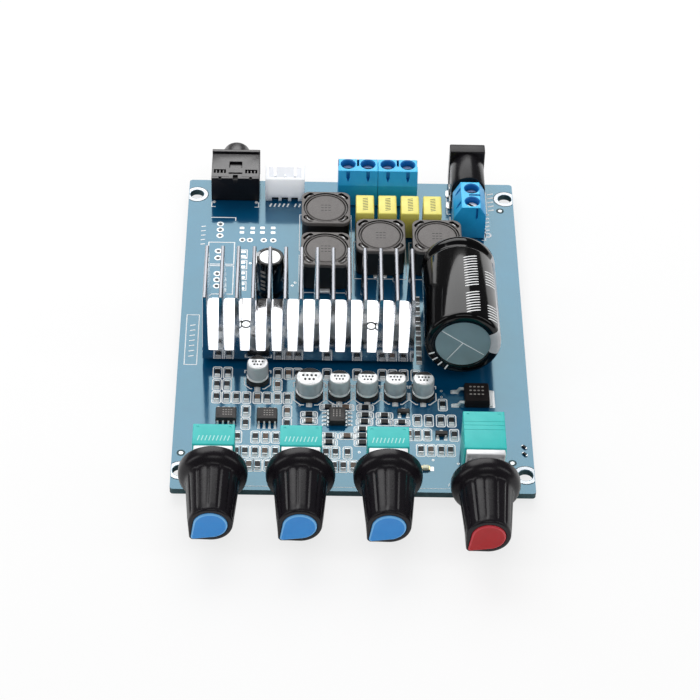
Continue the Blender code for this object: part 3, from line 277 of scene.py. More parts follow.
# %% Moulded finishes
def moulded(name, colour, shade, roughness, grain=0.12, depth=0.004, flow=3.0, **look):
    """Plastic with mould grain: colour drifts towards shade, and gloss drifts with it."""
    finish = Finish(name, **look)
    point = finish.place()
    drift = finish.noise(point, flow, 3.0)
    skin = finish.noise(point, grain, 2.0)
    speck = finish.noise(point, grain * 2.5, 1.0).above(0.66) * 0.25
    finish.set(
        base_color=finish.blend(tone(*colour), tone(*shade), drift.fade(0.3, 0.75) * 0.7 + speck),
        roughness=(drift - 0.5) * 0.12 + (skin - 0.5) * 0.08 + roughness,
    )
    finish.relief(skin + finish.noise(point, grain * 6.0, 2.0) * 1.5, depth)
    return finish


# The audio socket's black plastic comes as two copies: a lighter one, painted light for its top, and a
# darker one, painted shade for its front and sides.
jack_black = moulded("jack_black", (58, 56, 58), (48, 46, 48), 0.28, specular_ior_level=0.9)
jack_painted_shaded_black = moulded("jack_painted_shaded_black", (20, 18, 25), (14, 13, 19), 0.46, specular_ior_level=0.35)
socket_black = moulded("socket_black", (26, 25, 28), (19, 18, 21), 0.24, specular_ior_level=0.3)
knob_skin = {"grain": 0.10, "depth": 0.003, "specular_ior_level": 0.34}
knob_black = moulded("knob_black", (26, 23, 28), (19, 17, 21), 0.27, **knob_skin)
knob_blue = moulded("knob_blue", (50, 148, 226), (44, 138, 220), 0.18)
# Lighter copies of the cap colours are a painted highlight on the caps' bevel.
knob_blue_painted_highlight = moulded("knob_blue_painted_highlight", (120, 190, 244), (104, 178, 238), 0.20)
knob_red = moulded("knob_red", (182, 9, 22), (168, 7, 18), 0.18)
knob_red_painted_highlight = moulded("knob_red_painted_highlight", (204, 60, 70), (190, 48, 58), 0.20)
terminal_blue = moulded("terminal_blue", (36, 166, 226), (24, 150, 214), 0.34)
# The lighter blue for the terminals' top faces is painted light, and the darker blue for their wells,
# mouths and slots is painted shade.
terminal_painted_top_light = moulded("terminal_painted_top_light", (52, 198, 246), (38, 182, 238), 0.28)
terminal_painted_recess_shade = moulded("terminal_painted_recess_shade", (20, 128, 204), (14, 112, 188), 0.45)
pot_teal = moulded("pot_teal", (40, 198, 194), (30, 186, 184), 0.40)
film_yellow = moulded("film_yellow", (240, 232, 120), (226, 212, 92), 0.30)
nylon = {"subsurface_weight": 0.8, "subsurface_radius": (1.0, 1.0, 1.0), "subsurface_scale": 0.004}
# The emission in the header's two finishes is a painted glow: the nylon shell, and more strongly its
# inside, glow though they are no lamp.
shell = {**nylon, "emission_color": (0.4, 0.65, 1.0, 1.0), "emission_strength": 0.045}
header_white = moulded("header_white", (248, 251, 255), (242, 247, 255), 0.32, **shell)
glow = {"emission_color": (1.0, 1.0, 1.0, 1.0), "emission_strength": 0.13}
header_inner_painted_glow = moulded("header_inner_painted_glow", (252, 253, 255), (246, 249, 255), 0.4, **glow)
chip_black = moulded("chip_black", (40, 35, 34), (29, 26, 26), 0.44, 0.08, 0.006, 1.5)
chip_dark = moulded("chip_dark", (32, 25, 26), (23, 18, 19), 0.5, specular_ior_level=0.2)
base_black = moulded("base_black", (24, 24, 25), (17, 17, 18), 0.40)
ring_black = moulded("ring_black", (18, 17, 18), (12, 12, 12), 0.50)
# Near-black painted shade for bores, slots, pockets and recesses, darker than the plastic or metal
# round them.
painted_cavity_shade = moulded("painted_cavity_shade", (16, 16, 17), (10, 10, 11), 0.60)
print("moulded finishes:", len(bpy.data.materials))

# %% [markdown]
# ## Metals
# Bare metal shows its making. The heatsink was pushed through a die, so fine lines run along its
# length. Cans were drawn and are nearly mirrors, plated steel is a little dull, and solder froze
# into soft lumps. Each finish stretches its noise along the way the metal moved.

# %% Metal finishes
def metal(name, colour, roughness, stretch=(1, 1, 1), size=0.3, depth=0.002, swing=0.1, bare=1.0):
    """Metal whose fine marks are stretched noise. Less than fully bare metal is dull with oxide."""
    finish = Finish(name, metallic=bare)
    point = finish.place(stretch)
    marks = finish.noise(point, size, 3.0)
    cloud = finish.noise(finish.place(), size * 12, 2.0)
    bright = tone(*colour)
    finish.set(
        base_color=finish.blend(bright, darker(bright, 0.86), cloud.fade(0.35, 0.7)),
        roughness=(marks - 0.5) * swing + (cloud - 0.5) * swing + roughness,
    )
    finish.relief(marks, depth)
    return finish


extruded = metal("extruded_aluminium", (236, 237, 240), 0.12, (6.0, 0.12, 6.0), 1.2, 0.002)
can_silver = metal("can_silver", (214, 220, 222), 0.40, (1.0, 1.0, 0.08), 0.2, 0.002, bare=0.55)
# A near-white copy of the can metal, a painted highlight on the rolled bead.
can_bead_painted_highlight = metal("can_bead_painted_highlight", (250, 251, 252), 0.22, size=0.4, bare=0.3)
can_top = metal("can_top", (176, 196, 200), 0.34, size=0.5, depth=0.003, bare=0.55)
plate_steel = metal("plate_steel", (226, 226, 228), 0.22, (0.3, 1.0, 1.0), 0.25)
# A darker, duller copy of the aluminium, painted shade for the fins' flat tips.
fin_tip_painted_shade = metal("fin_tip_painted_shade", (148, 150, 156), 0.26, (6.0, 0.12, 6.0), 1.2, bare=0.9)
plate_zinc = metal("plate_zinc", (246, 247, 249), 0.42, (0.3, 1.0, 1.0), 0.25, bare=0.25)
screw_plated = metal("screw_plated", (205, 208, 210), 0.26, size=0.4)
# A whiter copy of the screw plating is a painted highlight for the front power screw, and a dark bluish
# copy is painted shade for the screws deep in their wells.
screw_painted_highlight = metal("screw_painted_highlight", (246, 247, 249), 0.30, size=0.4, bare=0.35)
screw_painted_well_shade = metal("screw_painted_well_shade", (140, 160, 196), 0.40, size=0.4, bare=0.6)
ring_tin = metal("ring_tin", (228, 232, 238), 0.46, size=0.5, depth=0.012, bare=0.7)
tinned = metal("tinned", (238, 242, 244), 0.34, size=0.5, depth=0.012, bare=0.5)
solder = metal("solder", (246, 248, 250), 0.24, size=0.35, depth=0.02, bare=0.35)
pin_gold = metal("pin_brass", (214, 196, 148), 0.25)
print("metal finishes are ready")

# %% [markdown]
# ## Board, ferrite, sleeve and print
# The board's face is a clear blue lacquer over copper and glass cloth. Two glossy layers make its
# mirror: the lacquer itself and a coat. Where copper lies below, the blue is lighter, so copper
# gets a finish of its own. Ferrite is a pressed and fired powder, so it has a sandy grain.
# A shrink sleeve is thin, glossy and slightly wavy. Print is thin matt paint.

# %% Special finishes
def lacquer(name, colour, shade):
    """Glossy solder mask with the faint weave of the glass cloth below."""
    finish = Finish(name, coat_weight=0.45, coat_roughness=0.04, ior=2.0)
    finish.set(coat_tint=tone(200, 240, 255), specular_tint=(0.6, 0.93, 1.0, 1.0))
    point = finish.place()
    across = finish.node("ShaderNodeMath", {"operation": "SINE"}, {0: point.part("X") * 9.0})
    along = finish.node("ShaderNodeMath", {"operation": "SINE"}, {0: point.part("Y") * 9.0})
    weave = across * along
    cloud = finish.noise(point, 9.0, 3.0)
    finish.set(
        base_color=finish.blend(tone(*colour), tone(*shade), cloud.fade(0.3, 0.7) + weave * 0.08),
        roughness=(cloud - 0.5) * 0.08 + 0.12,
    )
    finish.relief(finish.noise(point, 2.5, 2.0) + weave * 0.04, 0.006)
    return finish


def pressed_ferrite(name, colour, shade):
    """Fired ferrite with dark and light grains."""
    finish = Finish(name)
    point = finish.place()
    grain = finish.noise(point, 0.16, 4.0)
    cloud = finish.noise(point, 2.2, 2.0)
    mixture = grain.fade(0.35, 0.7) * 0.7 + cloud * 0.3
    finish.set(
        base_color=finish.blend(tone(*colour), tone(*shade), mixture),
        roughness=(grain - 0.5) * 0.3 + 0.46,
    )
    finish.relief(grain, 0.02)
    return finish


def sleeve(name, colour, roughness):
    """Shrunk film: glossy, with a slow wave and faint lines along the can."""
    finish = Finish(name, coat_weight=0.35, coat_roughness=0.03, specular_ior_level=0.25)
    point = finish.place()
    wave = finish.noise(finish.place((1.0, 1.0, 0.25)), 1.8, 2.0)
    fine = finish.noise(point, 0.25, 2.0)
    film = tone(*colour)
    finish.set(
        base_color=finish.blend(film, darker(film, 0.7), wave),
        roughness=(wave - 0.5) * 0.12 + (fine - 0.5) * 0.05 + roughness,
    )
    finish.relief(wave + fine * 0.05, 0.02)
    return finish


def printed(name, colour, gap=0.35, dull=0.4, **look):
    """Thin paint whose cover is a little uneven."""
    finish = Finish(name, **look)
    point = finish.place()
    cover = finish.noise(point, gap, 3.0)
    paint = tone(*colour)
    finish.set(
        base_color=finish.blend(paint, darker(paint, 0.8), cover.fade(0.4, 0.8)),
        roughness=cover * 0.2 + dull,
    )
    finish.relief(cover, 0.004)
    return finish


mask_blue = lacquer("mask_blue", (2, 76, 112), (2, 66, 102))
mask_copper = lacquer("mask_over_copper", (10, 92, 128), (6, 82, 118))
laminate = moulded("laminate", (50, 84, 90), (38, 66, 74), 0.6, 0.2, 0.02, 1.0)
ferrite = pressed_ferrite("ferrite_grey", (116, 112, 110), (88, 84, 83))
ferrite_side = pressed_ferrite("ferrite_side", (30, 28, 28), (20, 19, 19))
sleeve_black = sleeve("sleeve_black", (8, 8, 10), 0.11)
sleeve_stripe = sleeve("sleeve_stripe", (196, 199, 203), 0.30)
print_white = printed("print_white", (252, 254, 255))
can_white = printed("can_white", (252, 254, 255), dull=0.16, metallic=0.25, coat_weight=1.0)
print_pale = printed("print_pale", (168, 232, 228))
print_grey = printed("print_grey", (150, 146, 142))
print_dark = printed("print_dark", (58, 48, 30))
print_black = printed("print_black", (26, 26, 28))
chip_skin = {"grain": 0.06, "flow": 0.8, "specular_ior_level": 0.25}
ceramic_tan = moulded("ceramic_tan", (104, 86, 74), (80, 66, 58), 0.4, depth=0.006, **chip_skin)
resistor_black = moulded("resistor_black", (22, 23, 27), (15, 16, 19), 0.34, depth=0.005, **chip_skin)
led_lens = moulded("led_lens", (244, 240, 214), (226, 214, 168), 0.2, 0.05, 0.003, 0.5)
print("finishes in all:", len(bpy.data.materials))

# %% [markdown]
# ## Shapes
# A few small tools make nearly all shapes: an outline pushed along an axis, a profile turned
# about an axis, a wire along points, and a flat line with mitred corners. Each gives a bmesh,
# which holds a mesh while it is being edited. Sharp edges are bevelled, because no real edge is
# perfectly sharp and a bevel catches a line of light.

# %% Outlines and prisms
def circle(radius, steps=32, start=0.0):
    """The points of a circle."""
    turns = [start + 2 * math.pi * i / steps for i in range(steps)]
    return [Vector((radius * math.cos(a), radius * math.sin(a))) for a in turns]


def rounded(width, depth, radius, steps=5):
    """A rectangle round the origin with round corners."""
    points = []
    for quarter, (sx, sy) in enumerate(((1, 1), (-1, 1), (-1, -1), (1, -1))):
        middle = Vector((sx * (width / 2 - radius), sy * (depth / 2 - radius)))
        for step in range(steps + 1):
            angle = math.pi / 2 * (quarter + step / steps)
            points.append(middle + radius * Vector((math.cos(angle), math.sin(angle))))
    return points


def prism(outline, depth, axis="Z"):
    """An outline pushed along an axis from zero to depth."""
    lift = {
        "X": lambda u, v, w: (w, u, v),
        "Y": lambda u, v, w: (u, w, v),
        "Z": lambda u, v, w: (u, v, w),
    }[axis]
    shape = bmesh.new()
    low = [shape.verts.new(lift(u, v, 0.0)) for u, v in outline]
    high = [shape.verts.new(lift(u, v, depth)) for u, v in outline]
    shape.faces.new(low)
    shape.faces.new(high)
    for i in range(len(outline)):
        j = (i + 1) % len(outline)
        shape.faces.new((low[i], low[j], high[j], high[i]))
    bmesh.ops.recalc_face_normals(shape, faces=shape.faces)
    return shape


def soften(shape, width, segments=2, corner=40):
    """Rounds the edges that turn by more than the corner angle."""
    limit = math.radians(corner)
    edges = [e for e in shape.edges if len(e.link_faces) == 2 and e.calc_face_angle() > limit]
    form = {"segments": segments, "profile": 0.5, "affect": "EDGES", "clamp_overlap": True}
    bmesh.ops.bevel(shape, geom=edges, offset=width, **form)
    return shape


def tile(width, depth, radius, height, steps=2):
    """A flat block with round corners, such as a pad or a label, that stands on the origin."""
    return prism(rounded(width, depth, radius, steps), height)


def cuboid(width, depth, height, edge=0.0, segments=2):
    """A box that stands on the origin, with rounded edges."""
    x, y = width / 2, depth / 2
    shape = prism([(-x, -y), (x, -y), (x, y), (-x, y)], height)
    return soften(shape, edge, segments) if edge else shape


def skin(rings, closed=False):
    """Joins rings of points, or single points, into a surface."""
    shape = bmesh.new()
    loops = [[shape.verts.new(point) for point in ring] for ring in rings]
    pairs = list(zip(loops, loops[1:]))
    if closed:
        pairs.append((loops[-1], loops[0]))
    for upper, lower in pairs:
        count = max(len(upper), len(lower))
        for i in range(count):
            j = (i + 1) % count
            above = [upper[i % len(upper)], upper[j % len(upper)]]
            below = [lower[j % len(lower)], lower[i % len(lower)]]
            shape.faces.new(list(dict.fromkeys(above + below)))
    bmesh.ops.recalc_face_normals(shape, faces=shape.faces)
    return shape


def turned(profile, steps=40):
    """A profile of (radius, height) points turned about Z, from axis to axis."""
    rings = []
    for radius, height in profile:
        around = circle(radius, steps) if radius else [Vector((0.0, 0.0))]
        rings.append([(p.x, p.y, height) for p in around])
    return skin(rings)


def tube(profile, steps):
    """A loop of (radius, height) points turned about Z, which leaves the axis open."""
    return skin([[(p.x, p.y, z) for p in circle(r, steps)] for r, z in profile], closed=True)


def washer(inner, outer, height, steps=32):
    """A flat ring that stands on the origin."""
    return tube(((inner, 0.0), (inner, height), (outer, height), (outer, 0.0)), steps)


def rod(radius, length, edge=0.0, steps=32):
    """A round bar up from the origin, with softened ends."""
    if not edge:
        return turned([(0.0, 0.0), (radius, 0.0), (radius, length), (0.0, length)], steps)
    ends = [(radius - edge, 0.0), (radius, edge), (radius, length - edge), (radius - edge, length)]
    return turned([(0.0, 0.0)] + ends + [(0.0, length)], steps)


def stroke(points, width, height, closed=False):
    """A flat line along points with mitred corners, as in print and copper."""
    points = [Vector(p) for p in points]
    count = len(points)
    sides = ([], [])
    for i, point in enumerate(points):
        before = (point - points[i - 1]).normalized() if closed or i else None
        after = (points[(i + 1) % count] - point).normalized() if closed or i + 1 < count else None
        before, after = before or after, after or before
        along = (before + after).normalized()
        across = Vector((-along.y, along.x))
        reach = width / 2 / max(across.dot(Vector((-before.y, before.x))), 0.4)
        sides[0].append(point + across * reach)
        sides[1].append(point - across * reach)
    if not closed:
        return prism(sides[0] + sides[1][::-1], height)
    section = ((sides[0], 0.0), (sides[0], height), (sides[1], height), (sides[1], 0.0))
    return skin([[(p.x, p.y, z) for p in side] for side, z in section], closed=True)


def wire(points, radius, steps=10):
    """A round wire through points, closed at both ends."""
    points = [Vector(p) for p in points]
    rings = [[points[0]]]
    side = None
    for i, point in enumerate(points):
        before = points[max(i - 1, 0)]
        after = points[min(i + 1, len(points) - 1)]
        along = (after - before).normalized()
        if side is None:
            side = along.orthogonal().normalized()
        side = (side - along * side.dot(along)).normalized()
        other = along.cross(side)
        rings.append([point + radius * (p.x * side + p.y * other) for p in circle(1.0, steps)])
    rings.append([points[-1]])
    return skin(rings)


print("shape tools are ready")

# %% [markdown]
# ## Pieces
# A piece gathers shapes, each with its finish, in one mesh, and then takes the place of the
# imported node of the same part. Holes that go across an edge are cut with an exact Boolean, since
# that is how a drill or a mould core leaves them.

# %% Pieces
ORIGIN = UNTURNED = (0.0, 0.0, 0.0)
# Turns that lay a shape's Z axis towards the board's front or back
FORWARD = (90.0, 0.0, 0.0)
BACKWARD = (-90.0, 0.0, 0.0)


def as_mesh(shape):
    """A bmesh turned into mesh data, and freed."""
    mesh = bpy.data.meshes.new("shape")
    shape.to_mesh(mesh)
    shape.free()
    return mesh


def placed(shape, move=ORIGIN, turn=UNTURNED):
    """A shape turned about the origin by degrees and then moved."""
    angles = Euler([math.radians(a) for a in turn])
    shape.transform(Matrix.LocRotScale(Vector(move), angles, None))
    return shape


def evaluated(holder):
    """The shape that an object has after its modifiers, as a bmesh."""
    bpy.context.view_layer.update()
    view = bpy.context.evaluated_depsgraph_get()
    shape = bmesh.new()
    shape.from_mesh(holder.evaluated_get(view).to_mesh())
    return shape


def carved(shape, *cutters):
    """A shape less others, one by one. The faces that a cut leaves get material number 1."""
    for cutter in cutters:
        for face in cutter.faces:
            face.material_index = 1
        bodies = []
        for mesh in (as_mesh(shape), as_mesh(cutter)):
            mesh.materials.append(None)
            mesh.materials.append(None)
            bodies.append(linked("carving", mesh))
        modifier = bodies[0].modifiers.new("cut", "BOOLEAN")
        modifier.operation = "DIFFERENCE"
        modifier.solver = "EXACT"
        modifier.object = bodies[1]
        shape = evaluated(bodies[0])
        for body in bodies:
            mesh = body.data
            bpy.data.objects.remove(body)
            bpy.data.meshes.remove(mesh)
    return shape


class Piece:
    """One visible piece, made in millimetres about its own origin."""

    def __init__(self, name, origin):
        self.name = name
        self.origin = Vector(origin)
        self.shape = bmesh.new()
        self.finishes = []

    def index(self, finish):
        """The number of a finish among those of this piece."""
        if finish not in self.finishes:
            self.finishes.append(finish)
        return self.finishes.index(finish)

    def add(self, shape, finish, move=ORIGIN, turn=UNTURNED, inner=None):
        """Adds a shape at a place of its own. Cut faces can have an inner finish."""
        placed(shape, move, turn)
        numbers = [self.index(finish), self.index(inner or finish)]
        for face in shape.faces:
            face.material_index = numbers[min(face.material_index, 1)]
        mesh = as_mesh(shape)
        self.shape.from_mesh(mesh)
        bpy.data.meshes.remove(mesh)
        return self

    def paint(self, finish, where):
        """Gives a finish to the faces whose middle and normal pass a test."""
        number = self.index(finish)
        self.shape.normal_update()
        for face in self.shape.faces:
            if where(face.calc_center_median(), face.normal):
                face.material_index = number
        return self

    def build(self, body, node=None, turn=UNTURNED, corner=32):
        """Makes the object, lets it ride on its body and take its node's place."""
        self.shape.transform(Matrix.Scale(MM, 4))
        mesh = as_mesh(self.shape)
        mesh.name = self.name
        for finish in self.finishes:
            mesh.materials.append(finish.material)
        mesh.shade_smooth()
        mesh.set_sharp_from_angle(angle=math.radians(corner))
        return settle(self.name, mesh, self.origin, body, node, turn)


def settle(name, mesh, origin, body, node=None, turn=UNTURNED):
    """An object of a mesh, at its place in millimetres and turned by degrees."""
    piece = linked(name, mesh)
    piece.location = Vector(origin) * MM
    piece.rotation_euler = [math.radians(a) for a in turn]
    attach(piece, body)
    if node:
        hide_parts(node)
    return piece


def marks(piece, finish, places, size, height=0.02):
    """A group of short round-ended bars."""
    for place in places:
        piece.add(tile(*size, min(size) * 0.45, height, 3), finish, place)


print("piece tools are ready")

# %% [markdown]
# ## Bare board
# The board is a plate with drilled holes. A 2D curve with holes in it fills itself, which is
# simpler than cutting a plate many times. Copper tracks lie under the lacquer, so they are low
# ridges in a lighter blue. Drilled pads are tinned rings.

# %% Plate with holes
MOUNT_X, MOUNT_Y, MOUNT_RADIUS, MOUNT_PAD = 2.1, 5.8, 1.75, 2.75
mount_holes = [(x, y) for x in (MOUNT_X, WIDTH - MOUNT_X) for y in (MOUNT_Y, LENGTH - MOUNT_Y)]
# Bright dots that the machine which places the parts looks for
target_dots = [(MOUNT_X, MOUNT_Y + 5.6), (WIDTH - 4.95, MOUNT_Y + 3.8), (WIDTH - 3.5, LENGTH - 10.5)]
heatsink_holes = [on_board(f"heatsink_screw_{side}") for side in ("left", "right")]

# Open drilled places at the back left and under the heatsink
open_pads = [(8.5, y, 0.55, 0.88) for y in (87.9, 90.2, 92.4)]
open_pads += [(x, 86.4, 0.45, 0.8) for x in (14.2, 16.1, 19.6, 22.0)]
open_pads += [(8.3, y, 0.55, 0.9) for y in (68.9, 71.2, 73.5, 79.4, 82.0)]
vias = [(27.7, 70.6), (27.0, 69.5), (62.8, 33.0), (62.8, 31.0), (15.2, 79.5), (16.4, 77.6)]
vias += [(13.4, 20.0 + 1.3 * i) for i in range(3)] + [(31.0 + 1.4 * i, 19.2) for i in range(3)]
vias += [(52.0, 29.0), (29.3, 27.5), (23.6, 5.6), (15.8, 8.6), (60.2, 10.2), (66.0, 9.2), (43.2, 12.4)]


def plate(outline, holes, low, high):
    """A flat plate with holes, filled by a 2D curve."""
    curve = bpy.data.curves.new("plate", "CURVE")
    curve.dimensions = "2D"
    curve.fill_mode = "BOTH"
    curve.extrude = (high - low) / 2
    for loop in [outline] + holes:
        spline = curve.splines.new("POLY")
        spline.points.add(len(loop) - 1)
        for point, (x, y) in zip(spline.points, loop):
            point.co = (x, y, 0.0, 1.0)
        spline.use_cyclic_u = True
    holder = linked("plate", curve)
    shape = evaluated(holder)
    bpy.data.objects.remove(holder)
    bpy.data.curves.remove(curve)
    bmesh.ops.remove_doubles(shape, verts=shape.verts, dist=0.0005)
    bmesh.ops.recalc_face_normals(shape, faces=shape.faces)
    return placed(shape, (0.0, 0.0, (high + low) / 2))


def moved(points, x, y):
    """The points of an outline, moved to a place."""
    return [p + Vector((x, y)) for p in points]


def hole(x, y, radius, steps=28):
    """A round hole's outline at a place."""
    return moved(circle(radius, steps), x, y)


def bare_board():
    """The drilled plate, with lacquer on both faces and bare laminate at its edges."""
    outline = moved(rounded(WIDTH, LENGTH, 0.8), WIDTH / 2, LENGTH / 2)
    holes = [hole(x, y, MOUNT_RADIUS) for x, y in mount_holes]
    holes += [hole(x, y, 1.55) for x, y in heatsink_holes]
    holes += [hole(x, y, drill, 16) for x, y, drill, pad in open_pads]
    holes += [hole(x, y, 0.16, 10) for x, y in vias]
    board = Piece("board_plate", spot(0.0, 0.0))
    board.add(plate(outline, holes, -THICK, 0.0), mask_blue)
    board.paint(laminate, lambda middle, normal: abs(normal.z) < 0.5)
    return board.build("board", "circuit_board")


bare_board()
print("board holes:", len(mount_holes) + len(open_pads) + len(vias) + 2)

# %% Tinned rings and pads
# Thicknesses of a tinned pad and of a thin film, such as print on a part
PAD = 0.035
FILM = 0.012


def clipped(points, reach, side):
    """Points held back from the board's left or right edge."""
    return [Vector((side * min(side * p.x, reach), p.y)) for p in points]


def ring_pads():
    """Rings round the drilled holes, on both faces, cut off where they meet the board's edge."""
    pads = Piece("hole_rings", spot(0.0, 0.0))
    for x, y in mount_holes:
        reach = min(x, WIDTH - x) - 0.12
        side = -1 if x < WIDTH / 2 else 1
        bore = [hole(x, y, MOUNT_RADIUS + 0.1)]
        rim = moved(clipped(circle(MOUNT_PAD, 40), reach, side), x, y)
        for low in (0.0, -THICK - PAD):
            pads.add(plate(rim, bore, low, low + PAD), ring_tin)
        gap = moved(clipped(circle(MOUNT_PAD + 0.22, 40), reach, side), x, y)
        pads.add(plate(gap, bore, 0.0, FILM), laminate)
    for x, y, drill, pad in open_pads:
        for low in (0.0, -THICK - PAD):
            pads.add(washer(drill, pad, PAD, 20), tinned, (x, y, low))
        pads.add(washer(drill - 0.04, drill + 0.02, THICK, 16), tinned, (x, y, -THICK))
    for x, y in vias:
        for low in (0.0, -THICK - PAD * 0.6):
            pads.add(washer(0.16, 0.34, PAD * 0.6, 12), tinned, (x, y, low))
    for x, y in target_dots:
        pads.add(washer(0.5, 1.0, FILM, 24), laminate, (x, y, 0.0))
        pads.add(rod(0.52, PAD, 0.0, 20), tinned, (x, y, 0.0))
    return pads.build("board")


ring_pads()
print("rings and pads are on the board")

# %% [markdown]
# ## Chips
# A chip resistor or capacitor is a tiny block with two tinned ends, held by two fillets of
# solder that climb its ends from the pads. They are drawn once as a function and placed in the
# rows that the board has. Resistors are black on top and ceramic capacitors are tan.

# %% Chip rows
# Chips that lie front to back: the row's place, then each chip's place from the left
upright_rows = {
    38.1: (9.6, 12.1, 24.0, 26.5, 28.7, 35.7, 42.9, 48.9, 51.3, 54.0, 56.8),
    34.0: (9.6, 12.0, 24.0),
    29.8: (9.6, 12.0, 14.3, 16.7, 19.3, 21.6, 24.0, 26.4),
    25.3: (16.7, 26.4),
    21.2: (16.7, 26.4),
    16.8: (14.9, 19.1, 21.5, 23.9),
    12.1: (14.7, 16.8, 19.1, 21.4, 23.8, 35.5, 37.7, 40.5),
    7.8: (17.8, 19.8, 22.1, 37.4, 39.5, 41.8),
    23.0: (56.9, 59.6, 62.4, 64.9),
    18.3: (54.8, 56.8, 59.1, 65.4),
    13.3: (57.5, 59.8, 62.2, 64.4),
    28.3: (63.0,),
}
# Chips that lie left to right
level_rows = {
    26.9: (36.0, 40.1, 44.7),
    24.4: (31.5, 44.7, 49.2),
    22.2: (31.5, 44.5, 49.2, 53.2),
    17.5: (36.2, 40.4, 44.0),
    15.3: (36.2, 44.0),
    19.7: (44.0,),
}
# Chips in the column between the heatsink and the large capacitor
COLUMN_CHIPS = 7
CHIP = Vector((1.3, 2.2, 0.5))
CHIP_PAD = Vector((1.35, 3.2))


def chip(piece, x, y, turn, body):
    """One chip: its body, tinned ends, solder fillets and pads."""
    length, width, height = CHIP.y, CHIP.x, CHIP.z
    cap = 0.3
    angle = (0.0, 0.0, turn)
    rise = PAD + 0.02

    def put(shape, finish, along=0.0, up=0.0):
        placed(shape, (0.0, along, up))
        piece.add(shape, finish, (x, y, 0.0), angle)

    put(cuboid(width - 0.06, length - 2 * cap, height - 0.04, 0.04, 1), body, 0.0, rise)
    for side in (-1, 1):
        put(cuboid(width, cap, height, 0.07, 1), tinned, side * (length - cap) / 2, rise)
        pad = (CHIP_PAD.y - length + 0.7) / 2
        middle = side * (CHIP_PAD.y / 2 - pad / 2)
        put(tile(CHIP_PAD.x, pad, 0.1, PAD), tinned, middle)
        start, end = length / 2 - 0.04, CHIP_PAD.y / 2 - 0.06
        bend = (start + (end - start) * 0.3, height * 0.35)
        slope = [(start, PAD / 2), (start, height * 0.85), bend, (end, PAD / 2)]
        fillet = soften(prism([(side * u, v) for u, v in slope], width * 0.92, "X"), 0.03, 1, 20)
        put(placed(fillet, (-width * 0.46, 0.0, 0.0)), solder)


def chips():
    """All the small chips in one piece, with a choice of body that follows the rows."""
    piece = Piece("chip_parts", spot(0.0, 0.0))
    count = 0
    for rows, turn in ((upright_rows, 0.0), (level_rows, 90.0)):
        for y, places in rows.items():
            for x in places:
                body = ceramic_tan if (count * 7) % 5 == 1 else resistor_black
                chip(piece, x, y, turn, body)
                count += 1
    for i in range(COLUMN_CHIPS):
        chip(piece, 57.8, 43.5 + 3.5 * i, 0.0, resistor_black)
    piece.build("board")
    return count + COLUMN_CHIPS


print("chips:", chips())

# %% [markdown]
# ## Printed lines
# White paint on the board outlines each part, which shows where it goes. The outlines follow
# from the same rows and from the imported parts' boxes, so they need no list of their own.
# Frames, brackets and small marks are all flat strokes with square ends.

# %% Silkscreen
# Width and thickness of a printed line
SILK = 0.26
SILK_HIGH = 0.03
CANS = [f"chip_capacitor_{number}" for number in range(1, 7)]
INDUCTORS = [f"inductor_{number}" for number in range(1, 5)]
# Pairs of bare pads in a column at the left
BARE_PAIRS = (69.0, 73.0, 77.0, 81.0)
# Columns of dashes at the sides: x, y, the step to the next, reach, lean, how many, and width
SIDE_DASHES = (
    (76.9, 99.3, 1.6, 1.5, 0.4, 5, 0.42),
    (75.6, 91.4, 1.5, 1.4, 0.4, 5, 0.5),
    (3.7, 84.5, 1.7, 1.1, 0.2, 5, 0.3),
    (2.4, 43.6, 1.8, 1.3, 0.3, 7, 0.28),
)


def frame_points(x, y, width, depth, cut=0.0):
    """The corners of an upright rectangle round a place, cut off where cut is given."""
    w, d = width / 2, depth / 2
    if not cut:
        return [(x - w, y - d), (x + w, y - d), (x + w, y + d), (x - w, y + d)]
    return [(x + p.x, y + p.y) for p in rounded(width, depth, cut, 2)]


